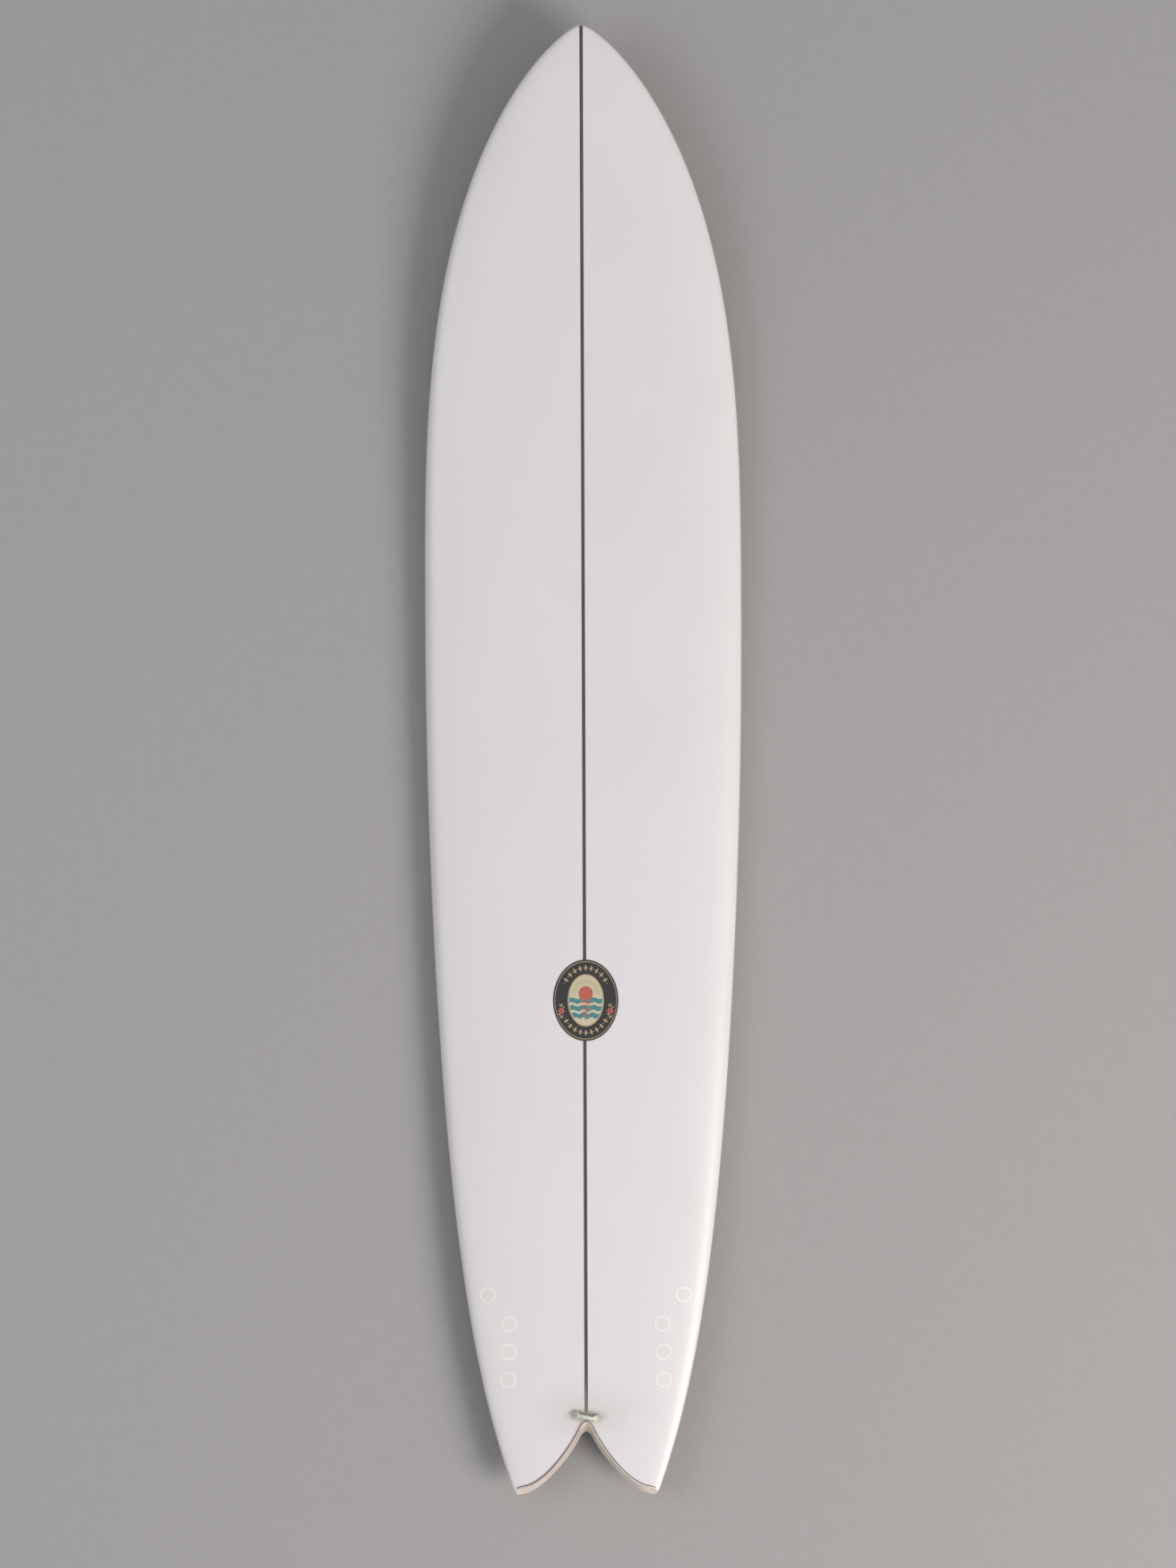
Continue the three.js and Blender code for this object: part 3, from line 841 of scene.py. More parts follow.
@dataclass(frozen=True)
class RingFinish:
    """Potting resin: bright where it is solid up to the deck, duller over the plug."""

    name: str = "potting_resin"
    bright: Colour = (0.98, 0.97, 0.94)
    dull: Colour = (0.82, 0.805, 0.785)
    plug_radius: float = 12.2 * MM

    def make(self) -> bpy.types.Material:
        """Builds the material.

        Returns:
            The material.
        """
        material, shader, output = new_material(self.name)
        place = shader.object_place()
        clouds = shader.group(cloudiness(), Vector=place, Size=0.02)
        radius = shader.attribute("from_axis").outputs["Fac"]
        uneven = shader.math("MULTIPLY_ADD", clouds.outputs["Patches"], 1.6 * MM, -0.8 * MM)
        from_axis = shader.math("ADD", radius, uneven)
        ring = shader.ramp(from_axis, self.plug_radius - 0.5 * MM, self.plug_radius + 0.5 * MM)
        middle = shader.mix(clouds.outputs["Patches"], self.dull, (0.85, 0.835, 0.815))
        colour = shader.mix(ring, middle, self.bright)
        normal = shader.bump(clouds.outputs["Grain"], 0.03 * MM, 0.5)
        surface = principled(shader, Base_Color=colour, Roughness=0.32, Normal=normal)
        surface.inputs["Coat Weight"].default_value = 0.3
        shader.put(surface.outputs[0], output.inputs["Surface"])
        return material


@dataclass(frozen=True)
class PatchFinish:
    """Thin greenish resin that fades out toward its edge."""

    name: str = "loop_patch_resin"
    colour: Colour = (0.52, 0.49, 0.36)

    def make(self) -> bpy.types.Material:
        """Builds the material.

        Returns:
            The material.
        """
        material, shader, output = new_material(self.name)
        clouds = shader.group(cloudiness(), Vector=shader.object_place(), Size=0.02)
        reach = shader.attribute("from_centre").outputs["Fac"]
        inset = shader.math("SUBTRACT", reach, 0.25)
        ragged = shader.math("MULTIPLY_ADD", clouds.outputs["Patches"], 0.5, inset)
        cover = shader.ramp(ragged, 0.2, 1.0, 0.7, 0.03)
        tone = shader.mix(clouds.outputs["Patches"], self.colour, (0.62, 0.59, 0.46))
        body = principled(shader, Base_Color=tone, Roughness=0.3)
        through = shader.add("ShaderNodeBsdfTransparent")
        blend = shader.add("ShaderNodeMixShader")
        shader.put(cover, blend.inputs[0])
        shader.put(through.outputs[0], blend.inputs[1])
        shader.put(body.outputs[0], blend.inputs[2])
        shader.put(blend.outputs[0], output.inputs["Surface"])
        return material


@dataclass(frozen=True)
class RovingFinish:
    """Bundled glass fibres soaked in resin: streaks along the rope and a wet coat."""

    name: str = "glass_roving"
    pale: Colour = (0.86, 0.88, 0.78)
    green: Colour = (0.50, 0.53, 0.40)
    soaked: Colour = (0.50, 0.49, 0.37)

    def make(self) -> bpy.types.Material:
        """Builds the material.

        Returns:
            The material.
        """
        material, shader, output = new_material(self.name)
        along = shader.add("ShaderNodeUVMap", uv_map="route").outputs[0]
        streaks = shader.noise(shader.mapped(along, scale=(7.0, 90.0, 1.0)), 1.0, 4.0, 0.6)
        blotches = shader.noise(shader.object_place(), 160.0, 2.0)
        cloudy = shader.math("MULTIPLY", blotches, 0.3)
        tone = shader.math("ADD", shader.math("MULTIPLY", streaks, 0.7), cloudy)
        crown = shader.mix(shader.ramp(tone, 0.38, 0.62), self.green, self.pale)
        feet = shader.mix(shader.ramp(tone, 0.38, 0.62), self.soaked, self.green)
        off_centre = shader.math("ABSOLUTE", shader.math("SUBTRACT", shader.split(along, 0), 0.5))
        colour = shader.mix(shader.ramp(off_centre, 0.24, 0.34), crown, feet)
        normal = shader.bump(streaks, 0.25 * MM, 0.8)
        rough = shader.math("MULTIPLY_ADD", streaks, 0.3, 0.15)
        surface = principled(shader, Base_Color=colour, Roughness=rough, Normal=normal)
        surface.inputs["Coat Weight"].default_value = 0.8
        surface.inputs["Coat Roughness"].default_value = 0.08
        shader.put(surface.outputs[0], output.inputs["Surface"])
        return material


@dataclass(frozen=True)
class InkFinish:
    """Ink on rice paper, with the paper's fibres showing through it."""

    name: str
    colour: Colour
    metal: float = 0.0
    roughness: float = 0.5

    def make(self) -> bpy.types.Material:
        """Builds the material.

        Returns:
            The material.
        """
        material, shader, output = new_material(self.name)
        place = shader.object_place()
        slanted = shader.mapped(place, turn=(0.0, 0.0, 0.6), scale=(300.0, 1800.0, 1.0))
        fibres = shader.noise(slanted, 1.0, 3.0)
        clouds = shader.group(cloudiness(), Vector=place, Size=0.03)
        worn = tuple(min(1.0, part * 1.25 + 0.006) for part in self.colour)
        wear = shader.ramp(clouds.outputs["Grain"], 0.3, 0.8)
        tone = shader.math("MULTIPLY", shader.ramp(fibres, 0.4, 0.75), wear)
        colour = shader.mix(tone, self.colour, worn)
        rough = shader.math("MULTIPLY_ADD", fibres, 0.2, self.roughness - 0.1)
        normal = shader.bump(fibres, 0.03 * MM, 0.4)
        surface = principled(shader, Base_Color=colour, Roughness=rough, Normal=normal)
        surface.inputs["Metallic"].default_value = self.metal
        shader.put(surface.outputs[0], output.inputs["Surface"])
        return material


@dataclass(frozen=True)
class PlugFinish:
    """Moulded plug plastic, sanded flush with the bottom at its mouth."""

    name: str = "plug_plastic"
    colour: Colour = (0.66, 0.65, 0.63)

    def make(self) -> bpy.types.Material:
        """Builds the material.

        Returns:
            The material.
        """
        material, shader, output = new_material(self.name)
        place = shader.object_place()
        slanted = shader.mapped(place, turn=(0.0, 0.0, 0.4), scale=(2600.0, 150.0, 400.0))
        scratches = shader.noise(slanted, 1.0, 3.0)
        clouds = shader.group(cloudiness(), Vector=place, Size=0.012)
        colour = shader.mix(shader.ramp(clouds.outputs["Patches"], 0.3, 0.7), (0.58, 0.57, 0.55), self.colour)
        rough = shader.math("MULTIPLY_ADD", scratches, 0.3, 0.3)
        normal = shader.bump(scratches, 0.05 * MM, 0.5)
        surface = principled(shader, Base_Color=colour, Roughness=rough, Normal=normal)
        shader.put(surface.outputs[0], output.inputs["Surface"])
        return material


@dataclass(frozen=True)
class SteelFinish:
    """Stainless steel with fine turning marks and a few dull salt spots."""

    name: str = "screw_steel"

    def make(self) -> bpy.types.Material:
        """Builds the material.

        Returns:
            The material.
        """
        material, shader, output = new_material(self.name)
        place = shader.object_place()
        clouds = shader.group(cloudiness(), Vector=place, Size=0.004)
        spots = shader.ramp(clouds.outputs["Patches"], 0.58, 0.72)
        colour = shader.mix(spots, (0.62, 0.62, 0.61), (0.38, 0.33, 0.28))
        rough = shader.math("MULTIPLY_ADD", spots, 0.3, 0.24)
        normal = shader.bump(clouds.outputs["Grain"], 0.02 * MM, 0.5)
        surface = principled(shader, Base_Color=colour, Roughness=rough, Normal=normal)
        surface.inputs["Metallic"].default_value = 1.0
        shader.put(surface.outputs[0], output.inputs["Surface"])
        return material


def dress(piece: bpy.types.Object, material: bpy.types.Material) -> None:
    """Gives a piece one material."""
    piece.data.materials.clear()
    piece.data.materials.append(material)


def settle(piece: bpy.types.Object, body: str, nodes: Sequence[str]) -> None:
    """Hangs a piece on the body that carries it and hides the CAD nodes that it stands for.

    Args:
        piece: The finished piece.
        body: CAD body that carries it.
        nodes: CAD nodes that the piece replaces.
    """
    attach(piece, body)
    if nodes:
        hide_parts(*nodes)
    LOG.info("%s: %d faces on %s", piece.name, len(piece.data.polygons), body)


# --------------------------------------------------------------------------- sub-assemblies


def eased(share: float) -> float:
    """A share that moves slowly at both ends."""
    return (1 - math.cos(math.pi * share)) / 2


@dataclass
class Blank:
    """The two foam halves and the stringer between them."""

    form: BoardForm
    cut: SwallowCut
    glass: Glassing
    stringer: float = 6.35 * MM
    columns: int = 64
    rows: int = 260

    def core_half(self, side: int, holes: bpy.types.Object) -> bpy.types.Object:
        """One foam half.

        Args:
            side: 1 for the right half and -1 for the left.
            holes: Bars that cut the plug holes.

        Returns:
            The foam piece.
        """
        layer = self.glass.core
        seam = self.stringer / 2 + 0.05 * MM
        ahead = self.glass.wall + self.glass.gap
        ends: Dict[float, float] = {}

        def place(u: float, v: float) -> Vector:
            face = Face.DECK if u < 0.5 else Face.BOTTOM
            angle = self.form.section_angle(abs(u - 0.5), face)
            if angle not in ends:
                ends[angle] = self.cut.column_end(angle, layer, ahead)
            nose = self.form.half_length - layer.side
            y = nose - (nose - ends[angle]) * eased(v)
            point = self.form.section_point(y, angle, layer)
            return Vector((side * max(point.x, seam), point.y, point.z))

        mesh = bmesh.new()
        bmesh.ops.create_grid(mesh, x_segments=self.columns, y_segments=self.rows, size=1.0)
        shares = {vert: ((vert.co.x + 1) / 2, (vert.co.y + 1) / 2) for vert in mesh.verts}
        for vert, (u, v) in shares.items():
            vert.co = place(u, v)
        half = 0.5
        tail = [edge for edge in mesh.edges if all(shares[vert][1] > 0.9999 for vert in edge.verts)]
        top = [edge for edge in mesh.edges if all(shares[vert][0] < 0.0001 for vert in edge.verts)]
        low = [edge for edge in mesh.edges if all(shares[vert][0] > 0.9999 for vert in edge.verts)]
        step = 1.01 / self.columns
        top += [edge for edge in tail if all(shares[vert][0] < half - step / 2 for vert in edge.verts)]
        low += [edge for edge in tail if all(shares[vert][0] > half + step / 2 for vert in edge.verts)]
        bmesh.ops.bridge_loops(mesh, edges=top + low)
        bmesh.ops.remove_doubles(mesh, verts=mesh.verts, dist=0.002 * MM)
        bmesh.ops.holes_fill(mesh, edges=mesh.edges, sides=0)
        bmesh.ops.recalc_face_normals(mesh, faces=mesh.faces)
        piece = to_object("foam_left" if side < 0 else "foam_right", mesh)
        carve(piece, holes)
        return piece

    def stringer_board(self) -> bpy.types.Object:
        """The wooden board on edge between the halves."""
        layer = self.glass.core
        form = self.form
        nose = form.half_length - layer.side - 4 * MM

        def place(u: float, v: float) -> Vector:
            end = -form.half_length + self.cut.depth
            for _ in range(6):
                y = nose - (nose - end) * eased(v)
                low = form.height(0.0, y, layer, Face.BOTTOM)
                high = form.height(0.0, y, layer, Face.DECK)
                z = low + (high - low) * u
                end = self.cut.station(0.0, z, self.glass.wall + self.glass.gap)
            return Vector((-self.stringer / 2, y, z))

        mesh = grid_sheet(6, self.rows, place)
        face_up(mesh, Vector((-1.0, 0.0, 0.0)))
        outer = list(mesh.faces)
        grown = bmesh.ops.extrude_face_region(mesh, geom=outer)
        moved = [item for item in grown["geom"] if isinstance(item, bmesh.types.BMVert)]
        bmesh.ops.translate(mesh, verts=moved, vec=(self.stringer, 0.0, 0.0))
        bmesh.ops.recalc_face_normals(mesh, faces=mesh.faces)
        return to_object("stringer_board", mesh, sharp=60.0)


@dataclass
class GlassJob:
    """The glass skins, the tail wall and the dark pinline strip, whose colour carries painted shade."""

    form: BoardForm
    cut: SwallowCut
    glass: Glassing
    columns: int = 96
    rows: int = 300
    lap_width: float = 60 * MM
    start: float = 2.2 * MM

    def skin(self, face: Face, holes: Optional[bpy.types.Object]) -> bpy.types.Object:
        """The skin of the deck or of the bottom, from rail line to rail line.

        Args:
            face: Which skin.
            holes: Bars that cut the plug holes, if there are any.

        Returns:
            The skin, with an attribute that is 0 at the rail and 1 at the inner edge of the lap.
        """
        up = face is Face.DECK
        ends: Dict[float, float] = {}

        def place(u: float, v: float) -> Vector:
            angle = self.form.section_angle(u, face)
            if angle not in ends:
                ends[angle] = self.cut.column_end(angle, FINISHED, self.glass.wall)
            y = self.form.half_length - (self.form.half_length - ends[angle]) * eased(v)
            return self.form.section_point(y, angle, FINISHED)

        mesh = grid_sheet(self.columns, self.rows, place)
        face_up(mesh, Vector((0.0, 0.0, face.value)))
        thicken(mesh, self.glass.deck if up else self.glass.bottom)
        piece = to_object("deck_glass" if up else "bottom_glass", mesh)
        if holes:
            carve(piece, holes)
        lap = piece.data.attributes.new("lap", "FLOAT", "POINT")
        lap.data.foreach_set("value", [self.lap_share(vert.co.x, vert.co.y) for vert in piece.data.vertices])
        return piece

    def lap_share(self, x: float, y: float) -> float:
        """How far inboard a point is: 0 at the rail and 1 at the inner edge of the lap."""
        half = self.form.half_width(y)
        return (half - abs(x)) / max(min(self.lap_width, 0.4 * half), 1 * MM)

    def wall(self) -> bpy.types.Object:
        """The glass over the leaning wall of the swallow cut."""
        limit = self.cut.limit(FINISHED)
        face = Layer(0.05 * MM, 0.05 * MM, 0.0)

        def place(u: float, v: float) -> Vector:
            share = (2 * u - 1) * limit
            low = self.cut.edge_point(share, face, Face.BOTTOM)
            return low.lerp(self.cut.edge_point(share, face, Face.DECK), v)

        mesh = grid_sheet(260, 8, place)
        face_up(mesh, Vector((0.0, -1.0, 0.0)))
        thicken(mesh, self.glass.wall - 0.05 * MM)
        return to_object("tail_wall", mesh)

    def pinline(self, width: float = 1.4 * MM, proud: float = 0.1 * MM) -> bpy.types.Object:
        """The thin dark line along the deck edge of the swallow cut: a resin pinline, darkened as painted
        shade of the joint between the deck glass and the wall.

        Args:
            width: Width of the line.
            proud: Height of the line over the glass.

        Returns:
            The line.
        """
        limit = self.cut.limit(FINISHED) * 0.995

        def place(u: float, v: float) -> Vector:
            point = self.cut.edge_point((2 * u - 1) * limit, FINISHED, Face.DECK, self.start + width * v)
            return point + Vector((0.0, 0.0, proud))

        mesh = grid_sheet(260, 3, place)
        face_up(mesh, Vector((0.0, 0.0, 1.0)))
        thicken(mesh, proud * 0.9)
        return to_object("swallow_pinline_and_shade", mesh)


class Ink(Enum):
    """The decal's inks, each with its depth under the glass."""

    PAPER = 0.76 * MM
    CREAM = 0.70 * MM
    GOLD = 0.64 * MM
    TEAL = 0.58 * MM
    CORAL = 0.52 * MM


@dataclass
class Decal:
    """The oval paper decal under the deck glass, with a plain sun-and-wave print."""

    form: BoardForm
    width: float = 122 * MM
    length: float = 152 * MM
    x: float = 2 * MM
    from_tail: float = 925 * MM
    panel_width: float = 64 * MM
    panel_length: float = 94 * MM
    print_thickness: float = 0.04 * MM
    sun_height: float = 13 * MM
    ray_end: float = 0.21

    def onto(self, x: float, y: float, cover: float) -> Vector:
        """A point of the print laid onto the foam, under a depth of glass."""
        px, py = self.x + x, self.from_tail - self.form.half_length + y
        return Vector((px, py, self.form.height(px, py, Layer(cover, 0.0, 0.0), Face.DECK)))

    def laid(self, name: str, shapes: Sequence[bmesh.types.BMesh], ink: Ink) -> bpy.types.Object:
        """Lays flat shapes on the board and gives each of them the print's thickness.

        Args:
            name: Name of the piece.
            shapes: Flat shapes about the decal's centre, which are freed.
            ink: The ink, which sets the depth.

        Returns:
            The piece.
        """
        mesh = bmesh.new()
        for shape in shapes:
            for vert in shape.verts:
                vert.co = self.onto(vert.co.x, vert.co.y, ink.value)
            face_up(shape, Vector((0.0, 0.0, 1.0)))
            thicken(shape, self.print_thickness)
            merge_into(mesh, shape)
        return to_object(name, mesh)

    @staticmethod
    def oval(width: float, length: float, inner: float = 0.0) -> bmesh.types.BMesh:
        """A large flat oval, or an oval band if inner is the share that is left out."""

        def place(u: float, v: float) -> Vector:
            reach = inner + (1 - inner) * v
            turn = 2 * math.pi * u
            return Vector((width / 2 * reach * math.cos(turn), length / 2 * reach * math.sin(turn), 0.0))

        return grid_sheet(96, 2 if inner else 10, place)

    @staticmethod
    def chip(
        width: float, length: float, x: float, y: float, turn: float = 0.0, sides: int = 14
    ) -> bmesh.types.BMesh:
        """A small flat shape with a number of sides: a diamond has four and a dot has many.

        Args:
            width: Width across.
            length: Length along.
            x: Distance of its centre to the right of the decal's.
            y: Distance of its centre ahead of the decal's.
            turn: Angle that it is turned by.
            sides: Number of sides.

        Returns:
            The shape.
        """
        mesh = bmesh.new()
        bmesh.ops.create_circle(mesh, cap_ends=True, radius=0.5, segments=sides)
        size = Matrix.Diagonal((width, length, 1.0, 1.0))
        place = Matrix.Translation((x, y, 0.0)) @ Matrix.Rotation(turn, 4, "Z") @ size
        bmesh.ops.transform(mesh, matrix=place, verts=mesh.verts)
        return mesh

    def paper(self) -> bpy.types.Object:
        """The dark oval that carries the print."""
        return self.laid("decal_paper", [self.oval(self.width, self.length)], Ink.PAPER)

    def cream(self) -> bpy.types.Object:
        """The cream panel."""
        return self.laid("decal_cream", [self.oval(self.panel_width, self.panel_length)], Ink.CREAM)

    def gold(self) -> bpy.types.Object:
        """The gold rings, the beaded border, the leaves and the sun's thin rays."""
        border = self.oval(self.width * 0.955, self.length * 0.96, 0.982)
        rim = self.oval(self.panel_width + 4 * MM, self.panel_length + 4 * MM, 0.955)
        shapes = [border, rim, *self.beads(), *self.leaves(), *self.rays()]
        return self.laid("decal_gold", shapes, Ink.GOLD)

    def beads(self) -> List[bmesh.types.BMesh]:
        """Diamonds and dots along the top and the bottom of the dark band."""
        parts = []
        for middle in (90, 270):
            for index in range(-9, 10):
                turn = math.radians(middle + 6.4 * index)
                x, y = self.width * 0.385 * math.cos(turn), self.length * 0.4 * math.sin(turn)
                along = math.atan2(y / self.length**2, x / self.width**2)
                if index % 2:
                    parts.append(self.chip(1.8 * MM, 1.8 * MM, x, y))
                else:
                    parts.append(self.chip(11.5 * MM, 5.4 * MM, x, y, along, 4))
        return parts

    def leaves(self) -> List[bmesh.types.BMesh]:
        """Leaves round the two rosettes."""
        parts = []
        for side in (-1, 1):
            for turn in (0.6, 1.3, 2.0, -0.6, -1.3, -2.0):
                lean = turn + (0.0 if turn > 0 else math.pi)
                x = side * self.width * 0.375 + 4.5 * MM * math.cos(lean)
                y = -self.length * 0.13 + 11.5 * MM * math.sin(turn)
                parts.append(self.chip(6.4 * MM, 2.2 * MM, x, y, lean))
        return parts

    def rays(self) -> List[bmesh.types.BMesh]:
        """Hair-thin rays from the sun to the panel's edge."""
        parts = []
        start = 17.5 * MM
        for index in range(25):
            turn = math.pi * index / 24
            step = Vector((math.cos(turn), math.sin(turn)))
            reach = start
            while self.panel_share(step.x * reach, self.sun_height + step.y * reach) < self.ray_end:
                reach += 0.5 * MM
            middle = (start + reach) / 2
            x, y = step.x * middle, self.sun_height + step.y * middle
            parts.append(self.chip(reach - start, 1.1 * MM, x, y, turn, 8))
        return parts

    def panel_share(self, x: float, y: float) -> float:
        """Square of how far out a point is on the panel, from 0 at its centre to 0.25 at its edge."""
        return (x / self.panel_width) ** 2 + (y / self.panel_length) ** 2

    def waves(self) -> bpy.types.Object:
        """Three teal bands of waves across the lower panel."""
        bands = [self.wave_band(4 * MM - row * 14 * MM) for row in range(3)]
        return self.laid("decal_waves", bands, Ink.TEAL)

    def wave_band(self, top: float) -> bmesh.types.BMesh:
        """One band with a rolling upper edge, trimmed to the panel's oval."""

        def place(u: float, v: float) -> Vector:
            y = top + 1.6 * MM * math.sin(u * 6 * math.pi) - (1 - v) * 9 * MM
            reach = self.panel_width / 2 * math.sqrt(max(0.0, 1 - (2 * y / self.panel_length) ** 2)) * 0.96
            return Vector(((2 * u - 1) * reach, y, 0.0))

        return grid_sheet(60, 4, place)

    def coral(self) -> bpy.types.Object:
        """The sun, its bars on the water and the two rosettes."""
        shapes = [self.chip(27 * MM, 27 * MM, 0.0, self.sun_height, sides=40)]
        for row, width in enumerate((24, 18, 21, 12, 14, 7)):
            shapes.append(self.chip(width * MM, 2.4 * MM, 0.0, (-3.5 - 6.2 * row) * MM))
        for side in (-1, 1):
            x, y = side * self.width * 0.375, -self.length * 0.13
            for petal in range(6):
                turn = math.pi * petal / 3
                px, py = x + 3.9 * MM * math.cos(turn), y + 3.9 * MM * math.sin(turn)
                shapes.append(self.chip(5.4 * MM, 3.6 * MM, px, py, turn))
        return self.laid("decal_coral", shapes, Ink.CORAL)


@dataclass
class LeashPoint:
    """The bonded rope loop and the resin patch under it."""

    form: BoardForm
    cut: SwallowCut
    from_tail: float = 148 * MM
    span: float = 38 * MM
    height: float = 15 * MM
    rope: float = 6.5 * MM
    foot_length: float = 24 * MM
    foot_width: float = 15 * MM
    yaw: float = -0.2
    patch_width: float = 92 * MM
    patch_length: float = 28 * MM
    patch_thickness: float = 0.8 * MM

    @property
    def station(self) -> float:
        """Station of the loop's middle."""
        return self.from_tail - self.form.half_length

    def deck(self, x: float, y: float) -> float:
        """Height of the deck."""
        return self.form.height(x, y, FINISHED, Face.DECK)

    def patch(self) -> bpy.types.Object:
        """The resin patch, thin at its edge and hollowed round the crotch.

        Returns:
            The patch, with an attribute that runs from 0 at its middle to 1 at its edge.
        """
        shares: List[float] = []

        def place(u: float, v: float) -> Vector:
            turn = 2 * math.pi * u
            x = self.patch_width / 2 * v * math.cos(turn)
            y = self.station + self.patch_length / 2 * v * math.sin(turn)
            limit = self.cut.station(x, self.deck(x, y), 2.6 * MM)
            y = max(y, limit)
            swell = self.patch_thickness * (1 - v**2) ** 0.6
            return Vector((x, y, self.deck(x, y) + 0.03 * MM + swell))

        mesh = grid_sheet(96, 24, place)
        face_up(mesh, Vector((0.0, 0.0, 1.0)))
        for vert in mesh.verts:
            across = 2 * vert.co.x / self.patch_width
            along = 2 * (vert.co.y - self.station) / self.patch_length
            shares.append(math.hypot(across, along))
        piece = to_object("leash_patch", mesh)
        values = piece.data.attributes.new("from_centre", "FLOAT", "POINT")
        values.data.foreach_set("value", shares)
        return piece

    def loop(self) -> bpy.types.Object:
        """The rope of glass roving, twisted over its arch and splayed at its feet.

        Returns:
            The rope, with a UV map that runs along it.
        """
        half = self.span / 2 + self.foot_length / 2
        turn = Matrix.Rotation(self.yaw, 3, "Z")

        def along(u: float) -> Tuple[Vector, float, float]:
            x = (2 * u - 1) * half
            inside = clamp(1 - abs(x) / (self.span / 2 + 2 * MM), 0.0, 1.0)
            rise = math.sin(math.pi / 2 * inside**0.62)
            crown = self.height - self.patch_thickness - self.rope / 2
            foot = clamp((abs(x) - self.span * 0.36) / (half - self.span * 0.36), 0.0, 1.0)
            splay = math.sin(math.pi * min(foot * 1.15, 1.0) ** 0.8)
            spread = self.rope / 2 + (self.foot_width - self.rope) / 2 * splay
            spread *= math.sqrt(max(0.0, 1 - foot**4))
            flat = self.rope / 2 * (1 - 0.72 * foot) * math.sqrt(max(0.0, 1 - foot**6))
            return Vector((x, 0.0, crown * rise)), spread, flat

        def place(u: float, v: float) -> Vector:
            middle, spread, flat = along(u)
            ahead, _, _ = along(min(u + 0.002, 1.0))
            behind, _, _ = along(max(u - 0.002, 0.0))
            run = (ahead - behind).normalized()
            up = run.cross(Vector((0.0, -1.0, 0.0))).normalized()
            twist = 2 * math.pi * v
            lobes = 1 + 0.07 * math.cos(4 * (twist - 9.0 * u))
            offset = Vector((0.0, -1.0, 0.0)) * spread * math.cos(twist) + up * flat * math.sin(twist)
            point = turn @ (middle + offset * lobes)
            x, y = point.x, self.station + point.y
            floor = self.deck(x, y) + 0.05 * MM + self.patch_thickness * 0.6
            base = self.deck(0.0, self.station) + self.patch_thickness
            return Vector((x, y, max(base + point.z, floor)))

        mesh = bmesh.new()
        bmesh.ops.create_grid(mesh, x_segments=140, y_segments=40, size=1.0)
        layer = mesh.loops.layers.uv.new("route")
        for face in mesh.faces:
            for loop in face.loops:
                loop[layer].uv = ((loop.vert.co.x + 1) / 2, (loop.vert.co.y + 1) / 2)
        for vert in mesh.verts:
            vert.co = place((vert.co.x + 1) / 2, (vert.co.y + 1) / 2)
        bmesh.ops.remove_doubles(mesh, verts=mesh.verts, dist=0.004 * MM)
        bmesh.ops.recalc_face_normals(mesh, faces=mesh.faces)
        return to_object("leash_rope", mesh, sharp=80.0)


